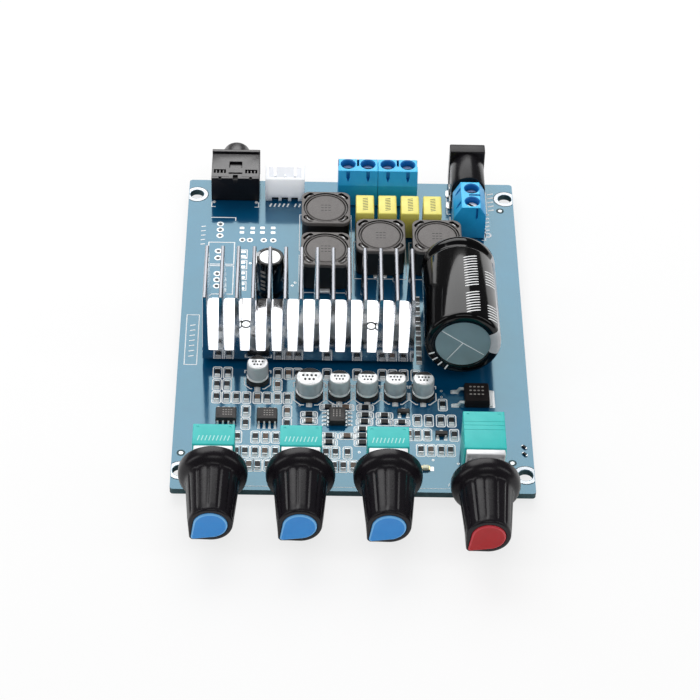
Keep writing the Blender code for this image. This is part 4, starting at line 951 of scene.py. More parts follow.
def silkscreen():
    """All the printed lines in one piece."""
    print_layer = Piece("printed_lines", spot(0.0, 0.0))

    def line(points, closed=False, width=SILK):
        print_layer.add(stroke(points, width, SILK_HIGH, closed), print_white)

    for y, places in upright_rows.items():
        for x in places:
            line(frame_points(x, y, 2.05, 3.9, 0.4), True)
    for y, places in level_rows.items():
        for x in places:
            line(frame_points(x, y, 3.9, 2.05, 0.4), True)
    for node in CANS:
        x, y = on_board(node)
        half = extent(node)[0] / 2 + 0.45
        cut = half * 0.45
        for side in (-1, 1):
            corner = [(x + side * half, y + 0.8), (x + side * half, y - half + cut)]
            corner += [(x + side * (half - cut), y - half), (x + side * 1.2, y - half)]
            line(corner)
            back = [(x + side * half, y + 2.2), (x + side * half, y + half), (x + side * 1.2, y + half)]
            line(back)
    for node in INDUCTORS:
        width, depth = extent(node)[:2]
        line(frame_points(*on_board(node), width + 0.9, depth + 1.7), True, 0.18)
    brackets = {"audio_jack": (-0.3, 2.3, 1.9), "dc_jack": (0.6, 1.6, 9.0)}
    brackets["power_terminal"] = (0.4, 0.5, 9.0)
    for node, (grow, gap, rise) in brackets.items():
        low, high = span(node)
        x0, x1 = low.x - LEFT - grow, high.x - LEFT + grow
        y0 = low.y - FRONT - gap
        y1 = min(y0 + rise, high.y - FRONT, LENGTH - 0.3)
        for x, step in ((x0, 1.0), (x1, -1.0)):
            line([(x, y1), (x, y0), (x + step, y0)], False, 0.22)
    middle = on_board("audio_header")[0]
    front = span("audio_header")[0].y - FRONT - 1.3
    for x in (-3.8, -2.7, -1.6, -0.5, 0.6, 2.5, 3.6):
        line([(middle + x, front - 0.65), (middle + x + 0.4, front + 0.65)], False, 0.4)
    for x, y, step, reach, lean, count, width in SIDE_DASHES:
        for i in range(count):
            line([(x, y + step * i), (x + reach, y + lean + step * i)], False, width)
    line(hole(76.4, 89.7, 0.72, 20), True, 0.5)
    for x in (26.5, 46.0, 63.5):
        for i in range(4):
            line([(x + 0.9 * i, 1.9), (x + 0.9 * i + 0.3, 2.8)], False, 0.22)
    # A bracket at the back left
    line([(6.0, 95.0), (12.3, 95.0), (12.3, 93.8)], False, 0.22)
    line(frame_points(9.05, 81.2, 6.5, 8.3), True)
    line(frame_points(9.05, 71.2, 6.5, 10.5), True)
    for y in BARE_PAIRS:
        line(frame_points(14.6, y, 1.9, 3.2), True)
    # A long frame at the left edge
    line(frame_points(3.0, 49.5, 3.0, 17.5), True, 0.2)
    # Edge rule under the controls
    line([(4.6, 1.2), (WIDTH - 4.6, 1.2)], False, 0.12)
    return print_layer.build("board")


silkscreen()
print("printed lines are on the board")

# %% Pads and copper
# How high a copper track stands under the lacquer
COPPER = 0.018


def empty_pads():
    """Bare tinned pads at the back left, and a lump of solder in front of each inductor."""
    piece = Piece("empty_pads", spot(0.0, 0.0))
    pairs = [(14.0, 91.0), (14.0, 89.3), (16.7, 91.0), (16.7, 89.3), (19.2, 91.2), (21.9, 91.2)]
    pairs += [(19.2, 89.4), (21.9, 89.4)]
    for y in BARE_PAIRS:
        pairs += [(14.6, y - 0.85), (14.6, y + 0.85)]
    for x, y in pairs:
        piece.add(tile(1.15, 0.95, 0.2, PAD, 3), tinned, (x, y, 0.0))
    for node in INDUCTORS:
        place = (on_board(node)[0], span(node)[0].y - FRONT + 0.2, 0.0)
        piece.add(soften(tile(3.4, 1.6, 0.3, 0.25, 3), 0.1, 1), solder, place)
    return piece.build("board")


def tracks():
    """Copper tracks under the lacquer: straight runs joined by a slanted one."""
    piece = Piece("copper_tracks", spot(0.0, 0.0))
    rows = sorted(upright_rows)
    random.seed(4)

    def track(start, end, width=0.32):
        (x0, y0), (x1, y1) = start, end
        slant = min(abs(x1 - x0), abs(y1 - y0) * 0.8)
        turn_y = y0 + (y1 - y0 - math.copysign(slant, y1 - y0)) / 2
        points = [(x0, y0), (x0, turn_y), (x1, turn_y + math.copysign(slant, y1 - y0)), (x1, y1)]
        steps = [math.dist(p, q) for p, q in zip(points, points[1:])]
        distinct = points[:1] + [p for p, step in zip(points[1:], steps) if step > 0.05]
        if len(distinct) > 1:
            piece.add(stroke(distinct, width, COPPER), mask_copper)

    for low, high in zip(rows, rows[1:]):
        for x in upright_rows[low]:
            near = min(upright_rows[high], key=lambda other: abs(other - x))
            if abs(near - x) < 6.0 and high - low > 2.5:
                track((x, low + 1.2), (near, high - 1.2), random.choice((0.28, 0.34, 0.5)))
    for x, y, width, depth in ((35.0, 63.0, 11.0, 6.0), (48.0, 98.0, 18.0, 3.4)):
        piece.add(tile(width, depth, 0.8, COPPER, 3), mask_copper, (x, y, 0.0))
    return piece.build("board")


empty_pads()
tracks()
print("pads and tracks are on the board")

# %% [markdown]
# ## Solder side
# Leads come through the board and are soldered underneath. Each joint is a small cone of bright
# metal with the cut lead standing out of it. They are also the board's feet when it lies on a
# table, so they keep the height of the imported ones.

# %% Solder joints
SOLDER_HIGH = TOP - THICK
# Distances between the leads of a part
PIN_PITCH = 2.5
LEG_PITCH = 1.27
TERMINAL_PITCH = 5.08
MAIN_LEADS = 7.5
SMALL_LEADS = 3.5


def pin_rows(number, back):
    """Where a control's rows of pins lie: the last control has two rows, the others one."""
    return [back - 1.2] if number < 4 else [back - 1.2, back - 6.2]


def lead_places():
    """Where leads come through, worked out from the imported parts."""
    places = []

    def corners(node):
        low, high = span(node)
        return low - Vector((LEFT, FRONT, 0)), high - Vector((LEFT, FRONT, 0))

    low, high = corners("audio_jack")
    places += [(x, y) for x in (low.x + 1.7, high.x - 1.7) for y in (low.y + 1.5, low.y + 5.0)]
    low, high = corners("audio_header")
    places += [((low.x + high.x) / 2 + i * PIN_PITCH, (low.y + high.y) / 2) for i in (-1, 0, 1)]
    for node in ("speaker_terminal_left", "speaker_terminal_right"):
        low, high = corners(node)
        places += [((low.x + high.x) / 2 + side * TERMINAL_PITCH / 2, low.y + 4.5) for side in (-1, 1)]
    low, high = corners("power_terminal")
    places += [(low.x + 4.5, (low.y + high.y) / 2 + side * TERMINAL_PITCH / 2) for side in (-1, 1)]
    low, high = corners("dc_jack")
    places += [((low.x + high.x) / 2, low.y + step) for step in (1.2, 7.2)]
    for number in range(1, 5):
        low, high = corners(f"film_capacitor_{number}")
        places += [((low.x + high.x) / 2, y) for y in (low.y + 1.1, high.y - 1.1)]
        low, high = corners(f"control_housing_{number}")
        middle = (low.x + high.x) / 2
        for row in pin_rows(number, high.y):
            places += [(middle + step * PIN_PITCH, row) for step in (-1, 0, 1)]
    low, high = corners("main_capacitor")
    places += [((low.x + high.x) / 2 + side * MAIN_LEADS / 2, high.y - 0.4) for side in (-1, 1)]
    low, high = corners("small_capacitor")
    middle = (low.x + high.x) / 2
    places += [(middle + side * SMALL_LEADS / 2, (low.y + high.y) / 2) for side in (-1, 1)]
    return places


def solder_joints():
    """A cone of solder round each cut lead, under the board."""
    piece = Piece("solder_joints", spot(0.0, 0.0, -THICK))
    for x, y in lead_places():
        cone = [(0.0, 0.0), (1.0, 0.0), (0.95, 0.08), (0.62, 0.35), (0.45, 0.75), (0.38, 1.1)]
        cone += [(0.36, SOLDER_HIGH - 0.05), (0.3, SOLDER_HIGH), (0.0, SOLDER_HIGH)]
        piece.add(turned(cone, 16), solder, (x, y, 0.0), (180.0, 0.0, 0.0))
        piece.add(washer(0.9, 1.15, PAD, 20), tinned, (x, y, -PAD))
    return piece.build("board")


solder_joints()
print("solder joints:", len(lead_places()))

# %% [markdown]
# ## Heatsink
# The heatsink is one length of extruded aluminium: a base with fourteen thin fins. Its section
# is drawn once, with a small radius at each fin's root and a rounded tip, and pushed along the
# board. Two screws come up through its base. Its polish makes it a mirror, so most of its look
# comes from what stands round it.

# %% Heatsink
FIN_COUNT = 14
FIN_ROOT = 1.5
FIN_TIP = 0.9
FIN_BASE = 2.9
ROOT_RADIUS = 0.15


def arc(x, y, radius, start, end, steps=4):
    """Points on an arc, in degrees."""
    turns = [math.radians(start + (end - start) * i / steps) for i in range(steps + 1)]
    return [(x + radius * math.cos(a), y + radius * math.sin(a)) for a in turns]


def heatsink_section(width, height):
    """The comb-shaped outline, from the lower left corner round to the right and back."""
    pitch = (width - FIN_ROOT) / (FIN_COUNT - 1)
    taper = (FIN_ROOT - FIN_TIP) / 2
    outline = [(0.0, 0.0), (width, 0.0)]
    for i in reversed(range(FIN_COUNT)):
        left = i * pitch
        right = left + FIN_ROOT
        if i < FIN_COUNT - 1:
            outline += arc(right + ROOT_RADIUS, FIN_BASE + ROOT_RADIUS, ROOT_RADIUS, 270, 180)
        outline += arc(right - taper - 0.3, height - 0.3, 0.3, 0, 90, 3)
        outline += arc(left + taper + 0.3, height - 0.3, 0.3, 90, 180, 3)
        if i:
            outline += arc(left - ROOT_RADIUS, FIN_BASE + ROOT_RADIUS, ROOT_RADIUS, 0, -90)
    return outline


def heatsink():
    """The extrusion, drilled for its screws."""
    low, high = span("heatsink")
    section = heatsink_section(high.x - low.x, high.z - low.z)
    piece = Piece("heatsink_body", low)
    drills = []
    for x, y in heatsink_holes:
        place = (x + LEFT - low.x, y + FRONT - low.y, -0.5)
        drills.append(placed(rod(1.5, FIN_BASE + 1.2, 0.0, 24), place))
    body = soften(prism(section, high.y - low.y, "Y"), 0.07, 1, 60)
    piece.add(carved(body, *drills), extruded)
    # The fins' flat tips get the darker copy of the aluminium as painted shade.
    piece.paint(fin_tip_painted_shade, lambda middle, normal: normal.z > 0.5 and middle.z > high.z - low.z - 0.4)
    return piece.build("board", "heatsink")


def heatsink_screw(side):
    """A threaded screw: its end shows between the fins and its head is under the board."""
    node = f"heatsink_screw_{side}"
    low, high = span(node)
    length = high.z - low.z
    profile = [(0.0, 0.0), (1.6, 0.0), (2.1, 0.35), (2.3, 0.8), (2.3, 1.1), (1.25, 1.1)]
    threads = int((length - 1.3) / 0.45)
    for i in range(threads):
        z = 1.15 + 0.45 * i
        profile += [(1.08, z), (1.25, z + 0.18), (1.25, z + 0.24)]
    profile += [(1.08, length - 0.15), (0.95, length), (0.0, length)]
    piece = Piece(f"{node}_body", (*centre(node), low.z))
    cross = [placed(cuboid(w, d, 1.0), (0, 0, -0.5)) for w, d in ((2.4, 0.5), (0.5, 2.4))]
    piece.add(carved(turned(profile, 28), *cross), screw_plated)
    return piece.build("board", node)


heatsink()
for side in ("left", "right"):
    heatsink_screw(side)
print("heatsink fins:", FIN_COUNT)

# %% [markdown]
# ## Chips with legs
# A moulded chip is pressed in two halves, so its sides slope a little both ways from the line
# where the legs come out. The legs bend down and out like a gull's wing to lie on the board.
# The two power chips under the heatsink are made the same way.

# %% Leaded chips
def gull_wing(reach, lift, thick=0.2):
    """The side view of a bent leg, from the chip outwards."""
    return [
        (-0.2, lift + thick),
        (reach * 0.38, lift + thick),
        (reach * 0.62, thick + 0.08),
        (reach * 0.72, thick),
        (reach, thick),
        (reach, 0.0),
        (reach * 0.62, 0.0),
        (reach * 0.46, 0.1),
        (reach * 0.26, lift),
        (-0.2, lift),
    ]


def moulded_body(width, depth, low, high):
    """A chip's body with sides that slope both ways from the middle."""
    middle = (low + high) / 2
    slope = (high - low) * 0.1
    rings = []
    for shrink, z in ((slope, low), (0.0, middle - 0.05), (0.0, middle + 0.05), (slope, high)):
        corners = rounded(width - 2 * shrink, depth - 2 * shrink, 0.08, 1)
        rings.append([(p.x, p.y, z) for p in corners])
    shape = skin(rings)
    shape.faces.new([v for v in shape.verts if abs(v.co.z - low) < 1e-6][::-1])
    shape.faces.new([v for v in shape.verts if abs(v.co.z - high) < 1e-6])
    bmesh.ops.recalc_face_normals(shape, faces=shape.faces)
    return soften(shape, 0.06, 1, 50)


def leaded_chip(name, node, turn, pins):
    """A chip in the place of its node: body, legs, solder and a mark at the first leg."""
    width, depth, height = extent(node)
    if turn:
        width, depth = depth, width
    reach = 1.0
    body = depth - 2 * reach
    top = height + SEAT
    piece = Piece(name, (*centre(node), TOP))
    dot = placed(rod(0.32, 0.2, 0.0, 16), (-width / 2 + 0.75, -body / 2 + 0.75, top - 0.07))
    piece.add(carved(moulded_body(width, body, SEAT * 0.5, top), dot), chip_black)
    outline = gull_wing(reach, height * 0.5)
    for side in (-1, 1):
        for i in range(pins):
            x = (i - (pins - 1) / 2) * LEG_PITCH
            bend = [(side * (body / 2 + u), v + PAD) for u, v in outline]
            leg = soften(prism(bend, 0.42, "X"), 0.04, 1)
            piece.add(leg, tinned, (x - 0.21, 0.0, 0.0))
            pad = side * (body / 2 + reach * 0.85)
            piece.add(tile(0.62, 1.5, 0.1, PAD), tinned, (x, pad, 0.0))
            heel = prism([(0.0, 0.0), (0.5, 0.0), (0.0, 0.28)], 0.46, "X")
            place = (x - 0.23 * side, side * (body / 2 + reach - 0.02), PAD)
            piece.add(heel, solder, place, (0, 0, 90 - 90 * side))
    for row in (-1, 0, 1):
        places = [(i * 0.62 - 0.6, row * 0.75 + 0.1, top) for i in range(4)]
        marks(piece, print_grey, places, (0.42, 0.3), 0.008)
    return piece.build("board", node, (0.0, 0.0, turn))


# Each chip's kind and side, its turn in degrees and its number of legs along one side
leaded_chips = (
    ("preamp", "left", 0, 4),
    ("preamp", "middle", 0, 4),
    ("preamp", "right", 90, 4),
    ("amplifier", "left", 0, 8),
    ("amplifier", "right", 0, 8),
)
for kind, side, turn, pins in leaded_chips:
    leaded_chip(f"{kind}_{side}_body", f"{kind}_chip_{side}", turn, pins)
print("chips with legs:", len(leaded_chips))

# %% Regulator and transistors
def regulator():
    """A power chip: its tab is soldered flat on the right, its two legs come out on the left."""
    low, high = span("voltage_regulator")
    origin = Vector((low.x, low.y, TOP))
    width, depth, height = high.x - low.x, high.y - low.y, high.z - TOP
    lead, tab = 2.6, 1.3
    body = width - lead - tab
    piece = Piece("regulator_body", origin)
    middle = (lead + body / 2, depth / 2, 0.0)
    piece.add(moulded_body(body, depth, 0.15, height), chip_dark, middle)
    piece.add(tile(tab, 5.7, 0.2, PAD * 2), solder, (width - 0.65, depth / 2, 0.0))
    metal_tab = soften(cuboid(tab + 0.4, 5.2, 0.5), 0.08, 1)
    piece.add(metal_tab, tinned, (width - tab / 2 - 0.75, depth / 2, PAD))
    for y in (depth / 2 - 2.29, depth / 2 + 2.29):
        outline = [(-u + lead, v + PAD) for u, v in gull_wing(lead, 0.95, 0.4)]
        leg = soften(prism(outline, 0.75, "Y"), 0.06, 1)
        piece.add(leg, tinned, (0.0, y - 0.375, 0.0))
        piece.add(tile(1.9, 1.2, 0.2, PAD * 2), solder, (0.5, y, 0.0))
        piece.add(soften(tile(1.3, 0.95, 0.2, 0.3), 0.12, 1), solder, (0.35, y, PAD))
    for row in range(3):
        places = [(lead + 1.5 + i * 0.95, depth - 1.5 - row * 1.25, height) for i in range(4)]
        marks(piece, print_grey, places, (0.6, 0.45), 0.008)
    return piece.build("board", "voltage_regulator")


def transistors():
    """Two three-legged transistors and a small lamp between the last two controls."""
    piece = Piece("small_transistors", spot(0.0, 0.0))
    for x, y in ((53.7, 25.4), (62.4, 18.3)):
        piece.add(moulded_body(2.9, 1.3, 0.1, 1.05), chip_black, (x, y, 0.0))
        for step, side in ((-0.95, -1), (0.95, -1), (0.0, 1)):
            outline = [(side * (0.65 + u), v + PAD) for u, v in gull_wing(0.6, 0.5, 0.13)]
            piece.add(prism(outline, 0.42, "X"), tinned, (x + step - 0.21, y, 0.0))
            piece.add(tile(0.8, 1.0, 0.1, PAD), solder, (x + step, y + side * 1.2, 0.0))
    x, y = 58.4, 7.4
    for side in (-1, 1):
        piece.add(tile(1.2, 1.4, 0.1, PAD), solder, (x + side * 1.35, y, 0.0))
        piece.add(cuboid(0.45, 1.25, 0.4, 0.05, 1), pin_gold, (x + side * 0.85, y, PAD))
    piece.add(cuboid(1.5, 1.2, 0.8, 0.15, 2), led_lens, (x, y, PAD))
    for y in (12.4, 14.7):
        piece.add(cuboid(0.6, 0.9, 0.42, 0.05, 1), resistor_black, (81.5, y, PAD), (0, 0, 45))
        for side in (-1, 1):
            end = (81.5 - side * 0.42, y + side * 0.42, 0.0)
            piece.add(cuboid(0.6, 0.34, 0.3, 0.08, 1), solder, end, (0, 0, 45))
    return piece.build("board")


regulator()
transistors()
print("regulator and transistors are placed")

# %% [markdown]
# ## Can capacitors
# The short cans are drawn from aluminium sheet. Their base edge is rolled over a rubber plug,
# which leaves a bead whose near-white finish is a painted highlight, and they stand on a black
# plastic base with two cut corners. The top is painted white, with a black field at the back
# that marks one pole.

# %% Can capacitors on bases
CAN_BASE = 1.2


def can_profile(radius, height):
    """The can's side view, from the middle of its top down to its bead."""
    edge = 0.35
    neck = radius - 0.2
    return [
        (0.0, height),
        (radius - edge, height),
        (radius - 0.12, height - 0.1),
        (radius, height - edge),
        (radius, CAN_BASE + 1.0),
        (neck + 0.05, CAN_BASE + 0.8),
        (neck, CAN_BASE + 0.65),
        (neck, CAN_BASE + 0.2),
        (0.0, CAN_BASE + 0.2),
    ]


def can_capacitor(number):
    """One can on its base, with its two flat leads."""
    node = f"chip_capacitor_{number}"
    half = extent(node)[0] / 2
    radius = half - 0.15
    height = span(node)[1].z - TOP
    piece = Piece(f"can_{number}", (*centre(node), TOP))
    side = half * 0.55
    base = [(-half, -side), (-side, -half), (side, -half), (half, -side), (half, half), (-half, half)]
    piece.add(soften(prism(base, CAN_BASE - 0.15), 0.08, 1), base_black, (0, 0, 0.12))
    wall = stroke([Vector(p) * 0.955 for p in base], 0.2, CAN_BASE, True)
    piece.add(wall, base_black, (0, 0, 0.16))
    piece.add(turned(can_profile(radius, height), 48), can_silver)
    rim = arc(radius - 0.2, CAN_BASE + 0.3, 0.3, -90, 90)
    # The bead carries the painted highlight.
    piece.add(turned([(0.0, CAN_BASE)] + rim + [(0.0, CAN_BASE + 0.6)], 48), can_bead_painted_highlight)
    for way in (-1, 1):
        piece.add(cuboid(0.65, 1.6, 0.2, 0.05, 1), tinned, (0, way * (half - 0.2), PAD))
        piece.add(tile(1.4, 2.0, 0.15, PAD), solder, (0, way * (half + 0.2), 0))
        piece.add(cuboid(0.5, 0.7, 0.35, 0.12, 1), solder, (0, way * (half + 0.45), PAD))
    disc = radius - 0.25
    paint = turned([(0.0, 0.02), (disc - 0.05, 0.02), (disc, 0.0), (0.0, 0.0)], 40)
    piece.add(paint, can_white, (0, 0, height))
    chord = disc * 0.42
    field = [p for p in circle(disc - 0.02, 48) if p.y > chord]
    piece.add(prism(field, FILM), print_black, (0, 0, height + 0.02))
    for row, count in ((0.15, 4), (-0.3, 3)):
        steps = [i - (count - 1) / 2 for i in range(count)]
        places = [(step * disc * 0.34, row * disc, height + 0.02) for step in steps]
        marks(piece, print_black, places, (disc * 0.2, disc * 0.26), 0.01)
    return piece.build("board", node)


for number in range(1, len(CANS) + 1):
    can_capacitor(number)
print("can capacitors:", len(CANS))

# %% [markdown]
# ## Main and small capacitors
# The large capacitor stores the supply's charge. It is a tall can in a black sleeve, laid down
# and tipped up a little in front. The sleeve is shrunk over the rims and leaves a bare disc, and
# the disc has three pressed lines where the can would open if it overheated. A pale stripe
# marks one pole, and bars of white paint curve round the sleeve.

# %% Sleeved capacitors
MAIN_TILT = 4.0
MAIN_RADIUS = 9.0
MAIN_LENGTH = 31.4


def stripe(piece, start, end, rim):
    """Paints the pale stripe of a sleeve between two angles in degrees, outside the rim."""

    def inside(middle, normal):
        angle = math.degrees(math.atan2(middle.y, middle.x))
        return start < angle < end and math.hypot(middle.x, middle.y) > rim and middle.z > 0.4

    piece.paint(sleeve_stripe, inside)


def main_capacitor():
    """The can along its own Z axis, from its leads to its bare disc."""
    low, high = span("main_capacitor")
    length, radius = MAIN_LENGTH, MAIN_RADIUS
    tilt = math.radians(MAIN_TILT)
    back = low.y + length * math.cos(tilt) + radius * math.sin(tilt)
    origin = Vector(((low.x + high.x) / 2, back, TOP + SEAT + radius * math.cos(tilt)))
    disc = 6.5
    profile = [
        (disc, length - 0.5),
        (disc + 0.15, length - 0.12),
        (disc + 0.5, length),
        (radius - 0.9, length - 0.05),
        (radius - 0.35, length - 0.3),
        (radius - 0.06, length - 0.8),
        (radius, length - 1.4),
        (radius, 5.2),
        (radius - 0.12, 4.7),
        (radius - 0.55, 4.1),
        (radius - 0.62, 3.7),
        (radius - 0.55, 3.3),
        (radius - 0.12, 2.6),
        (radius, 2.1),
        (radius - 0.05, 1.0),
        (radius - 0.5, 0.35),
        (radius - 1.4, 0.05),
        (7.0, 0.0),
        (6.9, 0.3),
    ]
    piece = Piece("main_capacitor_body", origin)
    piece.add(turned(profile, 96), sleeve_black)
    face = [(0.0, 0.28), (disc - 0.4, 0.28), (disc + 0.1, 0.4), (disc + 0.1, 0.0), (0.0, 0.0)]
    piece.add(turned(face, 64), can_top, (0, 0, length - 0.9))
    piece.add(turned([(0.0, 0.9), (7.2, 0.9), (7.2, 0.2), (0.0, 0.2)], 48), base_black)
    # The three pressed lines are drawn in white print as a painted glint of the scored metal.
    for angle in (145, 326, 235):
        end = Vector((math.cos(math.radians(angle)), math.sin(math.radians(angle)))) * 6.2
        piece.add(stroke([Vector((0, 0)), end], 0.15, 0.1), print_white, (0, 0, length - 0.66))
    stripe(piece, -20, 25, disc + 0.05)
    down = Vector((0.0, -math.cos(tilt), math.sin(tilt)))
    out = Vector((0.0, -math.sin(tilt), -math.cos(tilt)))
    for side in (-1, 1):
        foot = Vector((side * MAIN_LEADS / 2, 0.0, 0.0))
        corner = foot + out * 1.6
        bend = [foot + Vector((0.0, 0.0, 0.6)), foot, foot + out * 1.2]
        bend += [corner + down * 0.12 - out * 0.1, corner + down * 0.4, corner + down * (radius - 0.1)]
        piece.add(wire(bend, 0.4, 12), tinned)
    bars(piece, radius, length)
    return piece.build("board", "main_capacitor", (90.0 - MAIN_TILT, 0.0, 0.0), 40)


# Where the bars lie: the angle round the can, how far each bar reaches round it, and for each
# group its first height along the can and its number of bars, a millimetre apart
BAR_ROWS = (
    (76, 3.5, ((8.5, 12), (22.3, 8))),
    (40, 3.7, ((11.3, 6), (24.3, 6))),
)


def bars(piece, radius, length):
    """Two rows of bars along the sleeve, and four bars round its front rim."""
    for angle, reach, groups in BAR_ROWS:
        for first, count in groups:
            for i in range(count):
                bar = curved_mark(radius + 0.015, math.radians(angle), first + i, 0.34, reach, 1.8)
                piece.add(bar, print_white)
    for angle in (200, 214, 228, 242):
        turn = math.radians(angle)
        middle = Vector((math.cos(turn), math.sin(turn), 0.0)) * 7.75
        bar = tile(1.5, 0.36, 0.16, 0.03, 3)
        piece.add(bar, print_white, (middle.x, middle.y, length - 0.01), (0, 0, angle))


def curved_mark(radius, turn, z, width, reach, slant=0.0):
    """A thin bar that lies on a round can: width along the can, reach round it."""
    steps = 8
    rings = []
    for i in range(steps + 1):
        share = i / steps - 0.5
        angle = turn + share * reach / radius
        half = width / 2 * (1.0 if 0 < i < steps else 0.6)
        middle = z + share * slant
        corners = ((radius, -half), (radius, half), (radius + 0.02, half), (radius + 0.02, -half))
        rings.append([(r * math.cos(angle), r * math.sin(angle), middle + h) for r, h in corners])
    shape = skin(rings)
    for ring in (rings[0], rings[-1]):
        shape.faces.new([min(shape.verts, key=lambda v: (v.co - Vector(p)).length) for p in ring])
    bmesh.ops.recalc_face_normals(shape, faces=shape.faces)
    return shape


def small_capacitor():
    """A slim can that stands, with a silver top and a stripe."""
    low, high = span("small_capacitor")
    height, radius = high.z - TOP, (high.x - low.x) / 2
    piece = Piece("small_capacitor_body", (*centre("small_capacitor"), TOP))
    profile = [
        (2.5, height - 0.25),
        (2.65, height - 0.03),
        (radius - 0.35, height),
        (radius - 0.08, height - 0.2),
        (radius, height - 0.5),
        (radius, 2.6),
        (radius - 0.25, 2.2),
        (radius - 0.28, 2.0),
        (radius - 0.25, 1.8),
        (radius, 1.4),
        (radius - 0.05, 0.6),
        (radius - 0.4, 0.3),
        (2.5, 0.3),
    ]
    piece.add(turned(profile, 56), sleeve_black)
    lid = [(0.0, 0.22), (2.3, 0.22), (2.6, 0.3), (2.6, 0.0), (0.0, 0.0)]
    piece.add(turned(lid, 40), can_white, (0, 0, height - 0.5))
    piece.add(turned([(0.0, 0.6), (2.7, 0.6), (2.7, 0.35), (0.0, 0.35)], 32), base_black)
    stripe(piece, 149, 181, 2.6)
    for angle in (45, 135):
        piece.add(cuboid(3.6, 0.12, 0.06), tinned, (0, 0, height - 0.3), (0, 0, angle))
    for side in (-1, 1):
        piece.add(rod(0.28, 0.7, 0.0, 12), tinned, (side * SMALL_LEADS / 2, 0, -0.1))
    for z in (9.2, 7.9, 6.2, 5.0, 3.8):
        piece.add(curved_mark(radius + 0.01, math.radians(-118), z, 0.7, 1.3), print_grey)
    return piece.build("board", "small_capacitor", corner=40)


main_capacitor()
small_capacitor()
print("sleeved capacitors: 2")

# %% [markdown]
# ## Inductors
# A coil of copper wire sits in a pressed ferrite pot. From above one sees the pot's square wall
# with round corners, a dark ring where the coil lies, and the round core in the middle. Wire
# ends come up in pockets at the corners. One mesh serves all four.

# %% Inductors
CORNERS = [(sx, sy) for sx in (-1, 1) for sy in (-1, 1)]
POT_SIZE = 12.2
POT_HIGH = span("inductor_1")[1].z - TOP
POT_RING = 5.62
CORE = 4.8


def inductor_piece(origin):
    """The ferrite pot with its core, ring and wire ends."""
    piece = Piece("inductor_body_1", origin)
    side = soften(tile(POT_SIZE - 0.3, POT_SIZE - 0.3, 2.0, POT_HIGH - 1.0, 6), 0.15, 1, 50)
    piece.add(side, ferrite_side, (0, 0, 0.3))
    cutters = [placed(rod(POT_RING, 2.0, 0.0, 72), (0, 0, 0.25))]
    for sx, sy in CORNERS:
        turn = math.degrees(math.atan2(sy, sx))
        pocket = tile(1.5, 3.0, 0.72, 1.2, 5)
        cutters.append(placed(pocket, (4.35 * sx, 4.35 * sy, 0.4), (0, 0, turn)))
    lid = soften(tile(POT_SIZE, POT_SIZE, 2.1, 1.1, 8), 0.14, 2, 50)
    piece.add(carved(lid, *cutters), ferrite, (0, 0, POT_HIGH - 1.1), inner=ring_black)
    core = [(0.0, 0.0), (CORE, 0.0), (CORE, 0.55), (CORE - 0.14, 0.72), (CORE - 0.5, 0.78), (0.0, 0.78)]
    piece.add(turned(core, 64), ferrite, (0, 0, POT_HIGH - 0.88))
    piece.add(washer(CORE + 0.28, CORE + 0.5, 0.66, 64), ferrite, (0, 0, POT_HIGH - 0.82))
    for sx, sy in CORNERS:
        coil_end(piece, sx, sy)
    for row in (-1, 0, 1):
        places = [(i * 0.9 - 0.9, row * 1.0, POT_HIGH - 0.1) for i in range(3)]
        marks(piece, ferrite_side, places, (0.68, 0.24), 0.006)
    return piece


def coil_end(piece, sx, sy):
    """A short bend of wire that shows in a corner pocket."""
    points = []
    for i in range(7):
        angle = math.radians(45 + (i - 3) * 4.6)
        reach = 5.85 + 0.35 * math.sin(math.pi * i / 6)
        x, y = sx * reach * math.cos(angle), sy * reach * math.sin(angle)
        points.append(Vector((x, y, POT_HIGH - 0.5)))
    piece.add(wire(points, 0.34, 10), ferrite)
    # The thin bright wire on top of the grey one is a painted glint.
    glint = [point + Vector((0.0, 0.0, 0.3)) for point in points[2:5]]
    piece.add(wire(glint, 0.1, 8), solder)


inductor_object = inductor_piece((*centre("inductor_1"), TOP)).build("board", "inductor_1")
for number in (2, 3, 4):
    node = f"inductor_{number}"
    settle(f"inductor_body_{number}", inductor_object.data, (*centre(node), TOP), "board", node)
print("inductors: 4")

# %% [markdown]
# ## Film capacitors
# A film capacitor is a wound foil in a moulded box, filled from below with resin. The box has
# soft edges and small feet that keep it off the board. One mesh serves the row.

# %% Film capacitors
def film_capacitor():
    """The yellow box with feet, leads and generic marks on top."""
    width, depth, height = extent("film_capacitor_1")
    piece = Piece("film_body_1", (*centre("film_capacitor_1"), TOP + SEAT))
    piece.add(cuboid(width, depth, height - 0.3, 0.32, 3), film_yellow, (0, 0, 0.3))
    for sx, sy in CORNERS:
        foot = cuboid(0.8, 0.9, 0.6, 0.08, 1)
        piece.add(foot, film_yellow, (sx * (width / 2 - 0.55), sy * (depth / 2 - 0.6), -0.25))
    for sy in (-1, 1):
        piece.add(rod(0.28, 1.2, 0.0, 12), tinned, (0, sy * (depth / 2 - 1.1), -0.4))
    for i in range(8):
        y = (i - 3.5) * 0.62
        bar = stroke([(-0.55, y - 0.15), (0.75, y + 0.15)], 0.22, FILM)
        piece.add(bar, print_dark, (0, 0, height))
    return piece.build("board", "film_capacitor_1")


film_object = film_capacitor()
for number in (2, 3, 4):
    node = f"film_capacitor_{number}"
    place = (*centre(node), TOP + SEAT)
    settle(f"film_body_{number}", film_object.data, place, "board", node)
print("film capacitors: 4")

# %% [markdown]
# ## Screw terminals
# Each terminal is a moulded block with a sloping back, a round well over each screw and a
# square mouth for each wire. Thin slots in its top and slope let the mould's halves meet and
# take a test probe. The slots are cut from the block so that they have real depth.

# %% Terminals
WELL = 1.75


